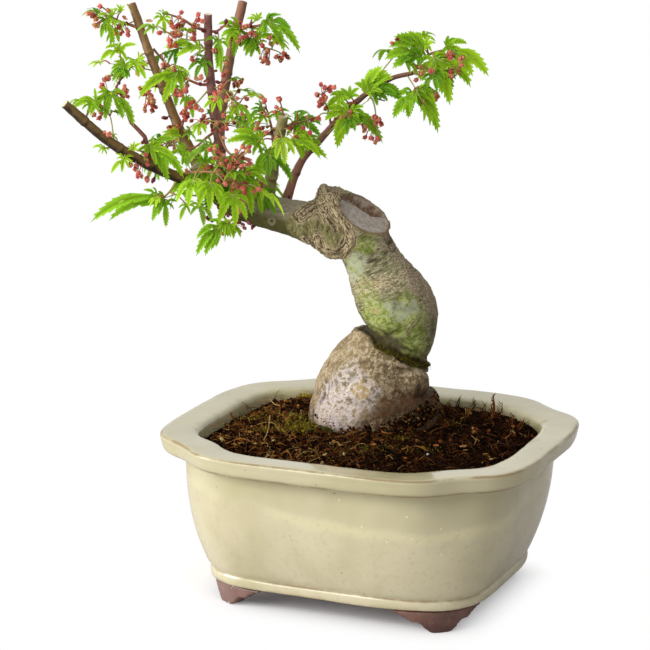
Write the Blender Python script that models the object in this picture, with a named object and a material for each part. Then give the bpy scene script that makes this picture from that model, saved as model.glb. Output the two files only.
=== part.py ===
"""Japanese maple bonsai in its glazed pot: stands on four feet, +Z up, origin under the middle of its box.

Sizes are millimetres here and become metres when a mesh is made. The pot lies along X. The tree is laid
out in a frame of its own, across, back and up, which stands in the pot turned a little from its long side.
"""
import math
import random

import bmesh
import bpy
from mathutils import Vector

MM = 0.001
GAP = 0.3

# Pot
POT_LENGTH = 160.0
POT_WIDTH = 141.2
POT_HEIGHT = 69.3
FOOT_HEIGHT = 9.5
FOOT_LENGTH = 41.0
FOOT_THICKNESS = 9.0
LIP_DROP = 7.4
WALL_THICKNESS = 6.0
WALL_TOP_INSET = 9.6
WALL_FOOT_INSET = 20.0
WALL_BOW = 2.3
BAND_HEIGHT = 4.6
BAND_INSET = 19.0
DRAIN_HOLE = 11.0
DRAIN_SPACING = 52.0
CORNER_ROUNDNESS = 4.2
OUTLINE_STEPS = 2

# A quarter of the rim, from the middle of a short side round the stepped corner to the middle of a long side
RIM_QUARTER = (
    (80.0, 8.0), (80.0, 27.1), (75.3, 46.6), (58.8, 56.1),
    (48.2, 67.5), (31.8, 70.6), (17.5, 70.6), (6.4, 70.6))
# Sections as inset from the rim's outline and height: over the base band's foot, and over the lip's underside
BAND_SECTION = (
    (BAND_INSET + 1.4, 0.0), (BAND_INSET, 0.8), (BAND_INSET + 0.7, 4.4), (WALL_FOOT_INSET, BAND_HEIGHT))
LIP_SECTION = (
    (3.4, 0.2), (1.0, 2.2), (1.4, 4.0), (0.0, 5.6), (0.8, 7.2), (2.2, LIP_DROP), (13.3, 6.8), (14.5, 5.8))
WALL_RINGS = (20.0, 29.0, 41.0, 53.0)
INNER_RINGS = (18.2, 32.0, 48.0)

# Bracket feet: shares of a foot's half length where its pad ends, its ogee ends and its wing starts
FOOT_PAD = 0.2
FOOT_OGEE = 0.5
FOOT_WING = 0.62
FOOT_SHOULDER = 4.6
FOOT_DRAFT = 1.2
FOOT_SHARES = (0.0, 0.2, 0.33, 0.42, 0.5, 0.62, 0.76, 0.9, 1.0)
FOOT_SKEW = 4.0
FOOT_STEPS = 12

# Soil, and where the tree stands in it
SOIL_EDGE = 64.2
SOIL_TOP = 66.4
SOIL_MOUND = (0.3, 0.65, 1.0)
TREE_FOOT = (-5.0, 19.6)
TREE_TURN = math.radians(22.8)
TRUNK_SEAT = 31.0

# Trunk stations: across, back, up, half width. Over the foot come a creased waist, a bulge and a leaning neck
TRUNK = (
    (-1.0, 0.0, SOIL_TOP + GAP, 27.4),
    (-1.0, 0.0, 74.0, 26.8),
    (-0.8, 0.0, 82.0, 23.6),
    (1.6, 0.0, 90.0, 19.6),
    (6.2, 0.0, 98.0, 15.8),
    (9.6, 0.0, 104.5, 14.4),
    (9.4, 0.0, 111.0, 15.2),
    (6.4, 0.0, 118.0, 15.4),
    (1.8, 0.0, 126.0, 13.6),
    (-2.4, 0.0, 134.5, 11.5),
    (-6.4, 0.0, 143.0, 11.5),
    (-9.8, 0.0, 150.0, 12.1),
    (-13.4, 0.0, 156.0, 11.2),
    (-17.4, 0.0, 161.6, 8.8),
    (-20.2, 0.0, 164.6, 4.6),
)
TRUNK_DEPTH = 0.94
TRUNK_SIDES = 24
TRUNK_RINGS = 22
PRUNED_FACE = Vector((-6.4, -6.0, 155.0))
PRUNED_NORMAL = Vector((0.476, -0.233, 0.846))

# Limbs: the limb that carries each, its sides and rings, and its stations as on the trunk
LIMBS = {
    "bough_main": ("trunk", 12, 10, (
        (-14.0, 0.0, 148.4, 9.6), (-23.2, -1.0, 149.0, 9.0), (-35.5, -2.0, 152.6, 7.4),
        (-47.7, -3.0, 155.8, 6.4), (-58.7, -3.0, 159.4, 5.8), (-67.8, -2.4, 166.0, 4.6),
        (-75.0, -0.6, 174.6, 3.1))),
    "bough_left": ("bough_main", 10, 8, (
        (-64.6, -2.6, 163.4, 3.0), (-80.8, -9.0, 169.8, 2.9), (-94.5, -15.0, 176.8, 2.6),
        (-109.9, -21.0, 187.6, 2.5), (-125.1, -26.0, 203.2, 2.1))),
    "bough_upper_left": ("bough_main", 10, 8, (
        (-71.6, -1.4, 170.4, 2.6), (-81.3, 5.0, 187.8, 2.5), (-88.1, 12.0, 203.3, 2.3),
        (-94.4, 18.0, 218.1, 2.2), (-101.5, 24.0, 237.2, 2.0))),
    "bough_middle": ("bough_main", 10, 8, (
        (-62.8, -2.6, 161.8, 2.4), (-65.0, -4.0, 185.1, 2.1), (-67.2, -6.0, 201.8, 1.9),
        (-68.6, -8.0, 218.3, 1.8), (-68.7, -10.0, 235.6, 1.7))),
    "bough_upper_right": ("bough_middle", 10, 8, (
        (-65.2, -3.9, 181.0, 1.9), (-64.1, 6.0, 196.7, 2.0), (-61.0, 15.0, 216.1, 2.0),
        (-56.6, 24.0, 238.0, 1.9))),
    "stub_short": ("bough_main", 10, 6, (
        (-45.8, -3.2, 155.8, 2.3), (-42.6, -9.0, 177.8, 2.1), (-38.8, -16.0, 196.0, 2.1))),
    "bough_right": ("bough_main", 10, 10, (
        (-39.8, -1.4, 154.0, 2.2), (-32.6, 6.0, 172.7, 1.6), (-24.4, 9.0, 182.6, 1.5),
        (-10.0, 12.0, 197.5, 1.2), (4.0, 14.0, 207.1, 1.0), (14.2, 15.0, 209.9, 0.9))),
}

# Masses of leaves: depth against height, and stations as on a limb, from its carrier to the mass's furthest tip
MASSES = {
    "leaves_top_left": (0.9, (
        (-99.0, 22.0, 231.0, 2.4), (-106.5, 19.5, 229.0, 7.0), (-114.6, 18.0, 234.2, 2.2))),
    "leaves_left_upper": (0.9, (
        (-92.6, 14.5, 211.0, 2.6), (-103.0, 10.0, 213.6, 8.6), (-114.4, 6.0, 215.4, 2.2))),
    "leaves_left_lower": (1.0, (
        (-106.4, -18.0, 186.4, 2.4), (-109.4, -14.0, 198.6, 8.8), (-121.0, -10.0, 202.6, 2.2))),
    "leaves_behind_upper_left": (0.8, (
        (-92.6, 20.4, 219.0, 2.6), (-87.4, 30.0, 210.4, 8.0), (-82.5, 31.0, 203.0, 7.6),
        (-79.0, 26.0, 197.0, 2.6))),
    "leaves_top_middle": (0.9, (
        (-67.6, -9.0, 226.6, 2.4), (-78.0, -14.0, 227.4, 8.4), (-90.4, -17.0, 233.0, 2.0))),
    "leaves_top_right": (0.9, ((-60.0, 20.4, 227.0, 2.6), (-48.6, 18.0, 225.0, 9.0), (-33.0, 12.0, 221.8, 2.0))),
    "leaves_centre": (1.0, (
        (-80.6, -9.6, 172.4, 2.8), (-66.6, -22.0, 175.0, 11.0), (-51.6, -23.0, 169.0, 11.8),
        (-38.4, -17.0, 165.0, 3.2))),
    "leaves_low_left": (1.2, (
        (-74.4, -9.0, 163.0, 2.2), (-86.0, -20.0, 164.4, 6.2), (-100.0, -27.0, 161.6, 5.4),
        (-115.4, -31.0, 156.6, 1.8))),
    "leaves_low_middle": (1.2, (
        (-55.4, -5.0, 152.6, 2.0), (-65.4, -12.0, 148.6, 5.8), (-72.4, -16.0, 138.8, 1.6))),
    "leaves_round_stub": (1.0, (
        (-50.4, -8.0, 186.4, 2.4), (-41.0, -14.0, 191.0, 9.0), (-29.6, -13.0, 194.4, 8.4),
        (-18.8, -6.0, 196.6, 2.0))),
    "leaves_right_middle": (1.1, ((-22.6, 9.0, 184.2, 2.4), (-11.8, 6.0, 194.4, 8.0), (0.8, 8.0, 203.0, 2.0))),
    "leaves_far_right": (1.1, ((-1.6, 14.0, 207.0, 2.0), (8.6, 17.6, 218.4, 7.4), (20.0, 22.0, 225.2, 2.2))),
    "leaves_right_tip": (1.0, ((12.8, 14.9, 209.8, 2.4), (28.0, 12.0, 212.0, 7.8), (44.4, 12.0, 208.8, 1.8))),
    "leaves_right_drop": (1.0, ((7.0, 12.4, 206.4, 2.0), (15.4, 0.0, 199.0, 5.8), (22.8, -4.0, 188.6, 1.8))),
    "leaves_fork": (1.0, (
        (-79.4, 2.0, 187.4, 2.4), (-72.0, -7.0, 193.4, 6.8), (-61.0, -11.0, 193.4, 6.2),
        (-54.6, -12.0, 195.0, 2.2))),
    "leaves_behind_left": (0.9, (
        (-80.0, 4.6, 184.0, 2.4), (-87.0, 22.0, 179.0, 9.6), (-92.0, 41.0, 170.0, 2.4))),
    "leaves_behind_middle": (1.0, (
        (-63.4, 8.0, 200.6, 2.4), (-60.0, 28.0, 197.0, 11.6), (-56.0, 50.0, 186.0, 2.6))),
    "leaves_behind_low": (1.0, (
        (-54.0, 2.2, 158.4, 2.4), (-52.0, 20.0, 164.0, 10.6), (-46.0, 40.0, 158.0, 2.4))),
    "leaves_front_upper": (1.0, (
        (-66.6, -6.6, 207.0, 2.2), (-62.0, -22.0, 208.4, 8.0), (-56.0, -38.0, 202.0, 2.0))),
}
MASS_SIDES = 10
MASS_RINGS = 7
MASS_UNEVEN = 0.16

random.seed(11)


def clear_scene():
    for old in list(bpy.data.objects):
        bpy.data.objects.remove(old, do_unlink=True)


def finish(name, colour, roughness):
    """A plain Principled finish."""
    made = bpy.data.materials.new(name)
    made.use_nodes = True
    shader = made.node_tree.nodes["Principled BSDF"]
    shader.inputs["Base Color"].default_value = (*colour, 1.0)
    shader.inputs["Roughness"].default_value = roughness
    shader.inputs["Metallic"].default_value = 0.0
    return made


def skin_rings(rings):
    """A closed shell over rings of equal length, from the first ring's cap to the last one's."""
    shell = bmesh.new()
    rows = [[shell.verts.new(Vector(p) * MM) for p in ring] for ring in rings]
    for low, high in zip(rows, rows[1:]):
        for i in range(len(low)):
            j = (i + 1) % len(low)
            shell.faces.new((low[i], low[j], high[j], high[i]))
    shell.faces.new(reversed(rows[0]))
    shell.faces.new(rows[-1])
    bmesh.ops.recalc_face_normals(shell, faces=shell.faces)
    return shell


def add_object(name, shell, material, parent):
    """Turns a bmesh into a named object, shaded smooth except at its real edges."""
    mesh = bpy.data.meshes.new(name)
    shell.to_mesh(mesh)
    shell.free()
    mesh.shade_smooth()
    mesh.set_sharp_from_angle(angle=math.radians(40))
    mesh.materials.append(material)
    made = bpy.data.objects.new(name, mesh)
    bpy.context.scene.collection.objects.link(made)
    made.parent = parent
    return made


def add_frame(name, parent=None):
    made = bpy.data.objects.new(name, None)
    bpy.context.scene.collection.objects.link(made)
    made.parent = parent
    return made


def hide_cutter(cutter):
    cutter.hide_render = True
    cutter.display_type = "WIRE"


def cut(target, cutter):
    """Takes the cutter's shape out of the target."""
    hole = target.modifiers.new("cut_" + cutter.name, "BOOLEAN")
    hole.operation = "DIFFERENCE"
    hole.object = cutter


# Pot
def pot_outline(inset, plain=0.0, steps=OUTLINE_STEPS):
    """The pot's plan, drawn in by inset. A plain share of 1 turns the stepped corners into round ones."""
    half_length = POT_LENGTH / 2
    half_width = POT_WIDTH / 2
    quarter = []
    for x, y in RIM_QUARTER:
        u = x / half_length
        v = y / half_width
        stretch = (u ** CORNER_ROUNDNESS + v ** CORNER_ROUNDNESS) ** (-1 / CORNER_ROUNDNESS)
        share = 1 + (stretch - 1) * plain
        quarter.append((u * share * (half_length - inset), v * share * (half_width - inset)))
    corner = list(quarter)
    corner += [(-x, y) for x, y in reversed(quarter)]
    corner += [(-x, -y) for x, y in quarter]
    corner += [(x, -y) for x, y in reversed(quarter)]
    points = []
    for i in range(len(corner)):
        before, here, after = (Vector(corner[k % len(corner)]) for k in (i - 1, i, i + 1))
        for step in range(steps):
            t = step / steps
            points.append(before * 0.5 * (1 - t) ** 2 + here * (0.5 + t - t * t) + after * 0.5 * t * t)
    return points


def pot_ring(inset, height, plain=0.0):
    return [(p.x, p.y, height) for p in pot_outline(inset, plain)]


def wall_inset(height):
    """How far the bowed wall stands in from the rim at a height."""
    low = FOOT_HEIGHT + BAND_HEIGHT
    high = POT_HEIGHT - LIP_DROP
    share = min(max((height - low) / (high - low), 0.0), 1.0)
    return WALL_TOP_INSET + (WALL_FOOT_INSET - WALL_TOP_INSET) * (1 - share) ** WALL_BOW


def wall_plain(height):
    """The stepped corners die away down the wall."""
    share = (height - FOOT_HEIGHT) / (POT_HEIGHT - LIP_DROP - FOOT_HEIGHT)
    return min(max(1.1 - 0.9 * share, 0.0), 1.0)


def inner_wall(height):
    return pot_ring(wall_inset(height) + WALL_THICKNESS, height, wall_plain(height))


def build_pot(material, parent):
    lip = POT_HEIGHT - LIP_DROP
    floor = FOOT_HEIGHT + WALL_THICKNESS
    rings = [pot_ring(inset, FOOT_HEIGHT + rise, 1.0) for inset, rise in BAND_SECTION]
    rings += [pot_ring(wall_inset(height), height, wall_plain(height)) for height in WALL_RINGS]
    rings.append(pot_ring(WALL_TOP_INSET, lip - 0.4, 0.2))
    rings += [pot_ring(inset, lip + rise) for inset, rise in LIP_SECTION]
    rings.append(pot_ring(WALL_TOP_INSET + WALL_THICKNESS, lip - 1.5, 0.2))
    rings += [inner_wall(height) for height in reversed(INNER_RINGS)]
    rings.append(pot_ring(wall_inset(floor) + WALL_THICKNESS + 3.0, floor, 1.0))
    pot = add_object("pot", skin_rings(rings), material, parent)
    radius = DRAIN_HOLE / 2 * MM
    for side in (-1, 1):
        drill = bmesh.new()
        bmesh.ops.create_cone(
            drill, cap_ends=True, segments=16, radius1=radius, radius2=radius, depth=5 * WALL_THICKNESS * MM)
        bmesh.ops.translate(drill, verts=drill.verts, vec=(side * DRAIN_SPACING / 2 * MM, 0, FOOT_HEIGHT * MM))
        cutter = add_object("drain_cutter", drill, material, parent)
        hide_cutter(cutter)
        cut(pot, cutter)
    return pot


def foot_underside(share):
    """Height of a bracket foot's lower edge at a share of its half length: a pad, an ogee and a stepped wing."""
    if share < FOOT_PAD:
        return 0.0
    if share < FOOT_OGEE:
        return FOOT_SHOULDER * (0.5 - 0.5 * math.cos(math.pi * (share - FOOT_PAD) / (FOOT_OGEE - FOOT_PAD)))
    if share < FOOT_WING:
        return FOOT_SHOULDER
    rise = FOOT_HEIGHT - FOOT_SHOULDER - GAP - 0.7
    return FOOT_SHOULDER + rise * math.sin(math.pi / 2 * (share - FOOT_WING) / (1 - FOOT_WING))


def build_foot(name, x_side, y_side, material, parent):
    """One bracket foot, bent round its corner of the base."""
    outline = [p for p in pot_outline(BAND_INSET + 1.6, 1.0, FOOT_STEPS) if p.x > 0 and p.y > 0]
    runs = [0.0]
    for before, after in zip(outline, outline[1:]):
        runs.append(runs[-1] + (after - before).length)
    middle = min(range(len(outline)), key=lambda i: abs(outline[i].x - outline[i].y - FOOT_SKEW))

    def at_run(run):
        i = min(range(len(runs)), key=lambda k: abs(runs[k] - run))
        i = min(max(i, 1), len(runs) - 2)
        here = outline[i] + (outline[i + 1] - outline[i - 1]).normalized() * (run - runs[i])
        tangent = (outline[i + 1] - outline[i - 1]).normalized()
        return here, Vector((-tangent.y, tangent.x))

    top = FOOT_HEIGHT - GAP
    rings = []
    for share in (*(-s for s in reversed(FOOT_SHARES[1:])), *FOOT_SHARES):
        outer, inward = at_run(runs[middle] + share * FOOT_LENGTH / 2)
        low = foot_underside(abs(share))
        draft = FOOT_DRAFT * (top - low) / top
        corners = (
            (outer, top),
            (outer + inward * FOOT_THICKNESS, top),
            (outer + inward * (FOOT_THICKNESS - draft), low),
            (outer + inward * draft, low),
        )
        rings.append([(p.x * x_side, p.y * y_side, z) for p, z in corners])
    return add_object(name, skin_rings(rings), material, parent)


# Soil
def build_soil(material, parent):
    """Fills the pot to just under its rim and rises a little to a level seat under the trunk."""
    floor = FOOT_HEIGHT + WALL_THICKNESS + GAP
    rings = [pot_ring(wall_inset(floor) + WALL_THICKNESS + 3.4, floor, 1.0)]
    for height in (*INNER_RINGS, SOIL_EDGE):
        rings.append(pot_ring(wall_inset(height) + WALL_THICKNESS + GAP + 0.2, height, wall_plain(height)))
    edge = [Vector(p).xy for p in rings[-1]]
    foot = Vector(TREE_FOOT)
    for share in SOIL_MOUND:
        height = SOIL_EDGE + (SOIL_TOP - SOIL_EDGE) * math.sin(math.pi / 2 * share)
        ring = []
        for p in edge:
            seat = foot + (p - foot).normalized() * TRUNK_SEAT
            ring.append((*(p.lerp(seat, share)), height))
        rings.append(ring)
    return add_object("soil", skin_rings(rings), material, parent)


# Tree
def smooth_stations(stations, count):
    """Evenly spread stations on a smooth curve through the given ones."""
    rows = [Vector(row) for row in stations]
    rows = [rows[0] * 2 - rows[1], *rows, rows[-1] * 2 - rows[-2]]
    made = []
    for k in range(count):
        place = k / (count - 1) * (len(stations) - 1)
        i = min(int(place), len(stations) - 2)
        t = place - i
        a, b, c, d = rows[i:i + 4]
        bend = (a * 2 - b * 5 + c * 4 - d) * t ** 2 + (b * 3 - a - c * 3 + d) * t ** 3
        made.append(0.5 * (b * 2 + (c - a) * t + bend))
    return made


def sweep_rings(stations, count, sides, depth=1.0, swell=0.0, uneven=0.0, level_start=False):
    """Rings across a smooth curve, with a half width in the seen direction and depth times that to the back.

    A swell makes the shape that much larger all round, its two ends included.
    """
    rows = smooth_stations([Vector(s) for s in stations], count)
    rings = []
    seen = None
    for k, row in enumerate(rows):
        ahead = rows[min(k + 1, count - 1)].xyz - rows[max(k - 1, 0)].xyz
        ahead.normalize()
        if k == 0 and level_start:
            ahead = Vector((0, 0, 1))
        if seen is None:
            start = Vector((0, 1, 0)) if abs(ahead.y) < 0.75 else Vector((0, 0, 1))
            seen = start.cross(ahead)
        seen = (seen - ahead * seen.dot(ahead)).normalized()
        behind = ahead.cross(seen)
        middle = row.xyz
        if k == 0:
            middle = middle - ahead * swell
        if k == count - 1:
            middle = middle + ahead * swell
        ring = []
        for i in range(sides):
            angle = 2 * math.pi * i / sides
            out = row.w + swell
            if uneven:
                out *= 1 + uneven * (math.sin(3 * angle + 1.7 * k) + random.uniform(-0.6, 0.6))
            p = middle + seen * math.cos(angle) * out + behind * math.sin(angle) * out * depth
            ring.append(tuple(p))
        rings.append(ring)
    return rings


def prune(shell, swell):
    """Cuts the head of the trunk off flat, as the saw did."""
    normal = PRUNED_NORMAL.normalized()
    bmesh.ops.bisect_plane(
        shell, geom=shell.verts[:] + shell.edges[:] + shell.faces[:],
        plane_co=(PRUNED_FACE + normal * swell) * MM, plane_no=normal, clear_outer=True)
    rim = [edge for edge in shell.edges if edge.is_boundary]
    bmesh.ops.edgeloop_fill(shell, edges=rim)
    bmesh.ops.recalc_face_normals(shell, faces=shell.faces)


def trunk_shell(swell=0.0):
    shell = skin_rings(sweep_rings(TRUNK, TRUNK_RINGS, TRUNK_SIDES, TRUNK_DEPTH, swell, level_start=True))
    prune(shell, swell)
    return shell


def build_tree(bark, twig_bark, leaf, parent):
    add_object("trunk", trunk_shell(), bark, parent)
    cutters = {"trunk": add_object("trunk_cutter", trunk_shell(GAP), bark, parent)}
    for name, (carrier, sides, count, stations) in LIMBS.items():
        material = bark if name == "bough_main" else twig_bark
        limb = add_object(name, skin_rings(sweep_rings(stations, count, sides)), material, parent)
        cut(limb, cutters[carrier])
        fat = skin_rings(sweep_rings(stations, count, sides, swell=GAP + 0.1))
        cutters[name] = add_object(name + "_cutter", fat, material, parent)
    for cutter in cutters.values():
        hide_cutter(cutter)
    for name, (depth, stations) in MASSES.items():
        rings = sweep_rings(stations, MASS_RINGS, MASS_SIDES, depth, uneven=MASS_UNEVEN)
        mass = add_object(name, skin_rings(rings), leaf, parent)
        for limb, cutter in cutters.items():
            if boxes_meet(mass, cutter):
                cut(mass, cutter)


def corners_of(thing):
    points = [thing.matrix_world @ v.co for v in thing.data.vertices]
    low = Vector([min(p[i] for p in points) for i in range(3)])
    high = Vector([max(p[i] for p in points) for i in range(3)])
    return low, high


def boxes_meet(a, b):
    low_a, high_a = corners_of(a)
    low_b, high_b = corners_of(b)
    return all(low_a[i] <= high_b[i] and low_b[i] <= high_a[i] for i in range(3))


def centre_on_origin(frame):
    """Sets the whole model down with the middle of its box's underside on the origin."""
    bpy.context.view_layer.update()
    lows, highs = zip(*(corners_of(o) for o in bpy.data.objects if o.type == "MESH" and not o.hide_render))
    for axis in range(2):
        frame.location[axis] = -(min(p[axis] for p in lows) + max(p[axis] for p in highs)) / 2
    bpy.context.view_layer.update()


clear_scene()
glaze = finish("celadon_glaze", (0.62, 0.57, 0.36), 0.15)
bare_clay = finish("bare_clay", (0.16, 0.07, 0.05), 0.6)
earth = finish("earth", (0.03, 0.015, 0.008), 0.95)
old_bark = finish("old_bark", (0.25, 0.24, 0.12), 0.8)
young_bark = finish("young_bark", (0.22, 0.06, 0.05), 0.5)
spring_leaf = finish("spring_leaf", (0.22, 0.45, 0.05), 0.5)

whole = add_frame("bonsai_frame")
build_pot(glaze, whole)
for corner, x_side, y_side in (
        ("front_left", -1, -1), ("front_right", 1, -1), ("back_left", -1, 1), ("back_right", 1, 1)):
    build_foot("foot_" + corner, x_side, y_side, bare_clay, whole)
build_soil(earth, whole)
tree = add_frame("tree_frame", whole)
tree.location = (TREE_FOOT[0] * MM, TREE_FOOT[1] * MM, 0)
tree.rotation_euler = (0, 0, TREE_TURN)
build_tree(old_bark, young_bark, spring_leaf, tree)
centre_on_origin(whole)
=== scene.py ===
# %% [markdown]
# # A small Japanese maple in a glazed pot
# The tree stands in a cream pot on four bracket feet. Its thick trunk ends in an old healed cut, and one
# bough runs off to the left and carries sawn branches with the first leaves and flowers of spring. The
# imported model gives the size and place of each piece, so everything below is hung on it and never moves it.

# %% Load the frame
import math
import random

import bpy
import numpy as np
from mathutils import Matrix, Vector, noise
from mathutils.bvhtree import BVHTree


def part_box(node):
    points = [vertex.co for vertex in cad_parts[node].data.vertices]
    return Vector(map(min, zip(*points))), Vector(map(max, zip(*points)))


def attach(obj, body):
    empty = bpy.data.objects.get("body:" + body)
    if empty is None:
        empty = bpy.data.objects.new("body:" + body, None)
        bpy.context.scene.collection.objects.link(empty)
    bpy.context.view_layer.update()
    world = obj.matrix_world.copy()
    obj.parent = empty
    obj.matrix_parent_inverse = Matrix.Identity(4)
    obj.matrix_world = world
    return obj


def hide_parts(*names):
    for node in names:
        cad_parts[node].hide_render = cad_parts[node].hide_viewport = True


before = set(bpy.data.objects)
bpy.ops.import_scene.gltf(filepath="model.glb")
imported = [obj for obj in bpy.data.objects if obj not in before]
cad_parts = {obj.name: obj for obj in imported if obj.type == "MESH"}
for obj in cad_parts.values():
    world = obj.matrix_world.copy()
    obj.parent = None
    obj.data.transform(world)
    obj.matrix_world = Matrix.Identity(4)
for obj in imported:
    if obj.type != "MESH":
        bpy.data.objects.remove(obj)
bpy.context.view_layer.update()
MM = 0.001

# %% [markdown]
# The tree is laid out in a frame of its own: across, back and up in millimetres, from the middle of its
# foot. That frame is turned a little from the pot's long side, so that the tree's best side meets the eye.
# One matrix turns it into the frame of the model.

# %% The tree's own frame
TREE_FOOT = Vector((-5.0, 19.6, 0.0)) * MM
TREE_TURN = math.radians(22.8)
pot_low, pot_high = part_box("pot")
pot_middle = (pot_low + pot_high) / 2
pot_middle.z = 0.0
tree_frame = Matrix.Translation(pot_middle + TREE_FOOT) @ Matrix.Rotation(TREE_TURN, 4, "Z")
into_tree = tree_frame.inverted()

# %% [markdown]
# The camera comes first, because the twigs are later set where the eye sees them. It was fitted to the
# pot's rim: it looks down by 13 degrees, from 22.8 degrees to the right of the pot's front. A helper turns
# a point of the 650 pixel view into a point of the tree at a chosen depth.

# %% Camera
VIEW_SIDE = 650
SENSOR = 36.0
FOCAL_PIXELS = 2614.65
CAMERA_TURN = math.radians(22.817)
CAMERA_RISE = math.radians(13.361)
CAMERA_PLACE = Vector((383.96, -961.48, 357.53)) * MM

backward = Vector((
    math.sin(CAMERA_TURN) * math.cos(CAMERA_RISE),
    -math.cos(CAMERA_TURN) * math.cos(CAMERA_RISE),
    math.sin(CAMERA_RISE)))
camera_angles = (-backward).to_track_quat("-Z", "Y").to_euler()
bpy.ops.object.select_all(action="DESELECT")
bpy.ops.object.camera_add(location=pot_middle + CAMERA_PLACE, rotation=camera_angles)
camera = bpy.context.object
camera.data.sensor_width = SENSOR
camera.data.lens = FOCAL_PIXELS / VIEW_SIDE * SENSOR
camera.data.clip_start = 0.05
camera.data.clip_end = 30.0
bpy.context.scene.camera = camera
bpy.context.view_layer.update()
eye = into_tree @ camera.matrix_world.translation / MM
eye_turn = into_tree.to_3x3() @ camera.matrix_world.to_3x3()


def seen(x, y, back):
    """The point of the tree that shows at pixel x, y, so many millimetres back behind the foot."""
    ray = eye_turn @ Vector(((x - VIEW_SIDE / 2) / FOCAL_PIXELS, (VIEW_SIDE / 2 - y) / FOCAL_PIXELS, -1.0))
    return eye + ray * ((back - eye.y) / ray.y)


print("lens", round(camera.data.lens, 1), "eye", [round(v) for v in eye])

# %% [markdown]
# Finishes are node trees, and their sums read better as sums. `Value` wraps one socket, so that `1 - mask *
# 0.5` adds the Math nodes by itself. `Finish` holds one material and has one method for any other node: its
# kind, its settings, then what its sockets take.

# %% Shader sums
class Value:
    """The number or colour of one socket, ready for sums."""

    def __init__(self, finish, socket):
        self.finish = finish
        self.socket = socket

    def __add__(self, other):
        return self.finish.maths("ADD", self, other)

    def __sub__(self, other):
        return self.finish.maths("SUBTRACT", self, other)

    def __rsub__(self, other):
        return self.finish.maths("SUBTRACT", other, self)

    def __mul__(self, other):
        return self.finish.maths("MULTIPLY", self, other)

    def __truediv__(self, other):
        return self.finish.maths("DIVIDE", self, other)

    def __pow__(self, other):
        return self.finish.maths("POWER", self, other)

    __radd__ = __add__
    __rmul__ = __mul__


class Finish:
    """One material with a Principled shader, and the few kinds of node that the finishes below share."""

    def __init__(self, name, colour, roughness):
        self.material = bpy.data.materials.new(name)
        self.material.use_nodes = True
        self.tree = self.material.node_tree
        self.shader = self.tree.nodes["Principled BSDF"]
        self.set(**{"Base Color": colour, "Roughness": roughness})

    def feed(self, socket, value):
        """Links a value to a socket, or writes plain numbers into it."""
        if isinstance(value, Value):
            self.tree.links.new(value.socket, socket)
        elif isinstance(value, tuple) and socket.type == "RGBA":
            socket.default_value = (*value[:3], 1.0)
        else:
            socket.default_value = value

    def set(self, **inputs):
        for name, value in inputs.items():
            self.feed(self.shader.inputs[name], value)

    def node(self, kind, settings=None, inputs=None, output=0):
        made = self.tree.nodes.new("ShaderNode" + kind)
        for name, value in (settings or {}).items():
            setattr(made, name, value)
        for name, value in (inputs or {}).items():
            self.feed(made.inputs[name], value)
        return Value(self, made.outputs[output])

    def maths(self, operation, a, b=0.0):
        return self.node("Math", {"operation": operation}, {0: a, 1: b})

    def object_place(self):
        return self.node("TexCoord", output="Object")

    def tree_place(self):
        """The place in the tree's own frame, in millimetres."""
        return self.node("Mapping", {"vector_type": "TEXTURE"}, {
            "Vector": self.object_place(), "Location": tuple(tree_frame.translation),
            "Rotation": (0.0, 0.0, TREE_TURN), "Scale": (MM, MM, MM)})

    def noted(self, name):
        """The number that a piece notes for each of its points under a name."""
        return self.node("Attribute", {"attribute_name": name}, output="Fac")

    def axis(self, place_value, letter):
        return self.node("SeparateXYZ", {}, {0: place_value}, letter)

    def stretch(self, place_value, scale):
        return self.node("Mapping", {"vector_type": "POINT"}, {"Vector": place_value, "Scale": scale})

    def lean(self, place_value, degrees, scale):
        """A place turned about the Y axis first and stretched after, for patterns that run aslant."""
        return self.node("Mapping", {"vector_type": "TEXTURE"}, {
            "Vector": place_value, "Rotation": (0.0, math.radians(degrees), 0.0),
            "Scale": tuple(1.0 / size for size in scale)})

    def grain(self, place_value, scale, detail=4.0, rough=0.55, twist=0.0):
        return self.node("TexNoise", {}, {
            "Vector": place_value, "Scale": scale, "Detail": detail, "Roughness": rough, "Distortion": twist})

    def cells(self, place_value, scale):
        """The distance to the nearest of many points strewn at random."""
        return self.node("TexVoronoi", {}, {"Vector": place_value, "Scale": scale}, "Distance")

    def step(self, value, low, high):
        """A soft step from 0 at low to 1 at high."""
        return self.node("MapRange", {"interpolation_type": "SMOOTHSTEP"}, {
            "Value": value, "From Min": low, "From Max": high})

    def mix(self, first, second, share):
        """The first colour turned into the second by a share."""
        return self.node("Mix", {"data_type": "RGBA"}, {0: share, 6: first, 7: second}, 2)

    def coats(self, colour, *rows):
        """A colour under further coats, each a colour and the share by which it covers."""
        for over, share in rows:
            colour = self.mix(colour, over, share)
        return colour

    def raise_surface(self, height, depth_mm, strength):
        """Lets a height, 0 to 1, stand the surface up by a depth."""
        relief = {"Strength": strength, "Distance": depth_mm * MM, "Height": height}
        self.set(Normal=self.node("Bump", {}, relief))


# %% [markdown]
# A plain white room: a wide floor, a white sky that fills the shadows, and two large soft lamps on the
# left, one beside the tree and one in front of it. White ground throws much light up at a pot, more than
# the real one got. So there are two floors. The upper one is a white sheet that only the eye sees: it
# glows, save for an oblong under the pot where it takes the pot's shadow. The lower one is duller and sends
# the light back. A black card stands on the right, out of the picture, and keeps that side of the pot in
# shade.

# %% Floor, sky and lamps
FLOOR_SIDE = 9.0
FLOOR_SHADE = (0.9, 0.9, 0.9)
FLOOR_GLOW = 1.0
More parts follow.
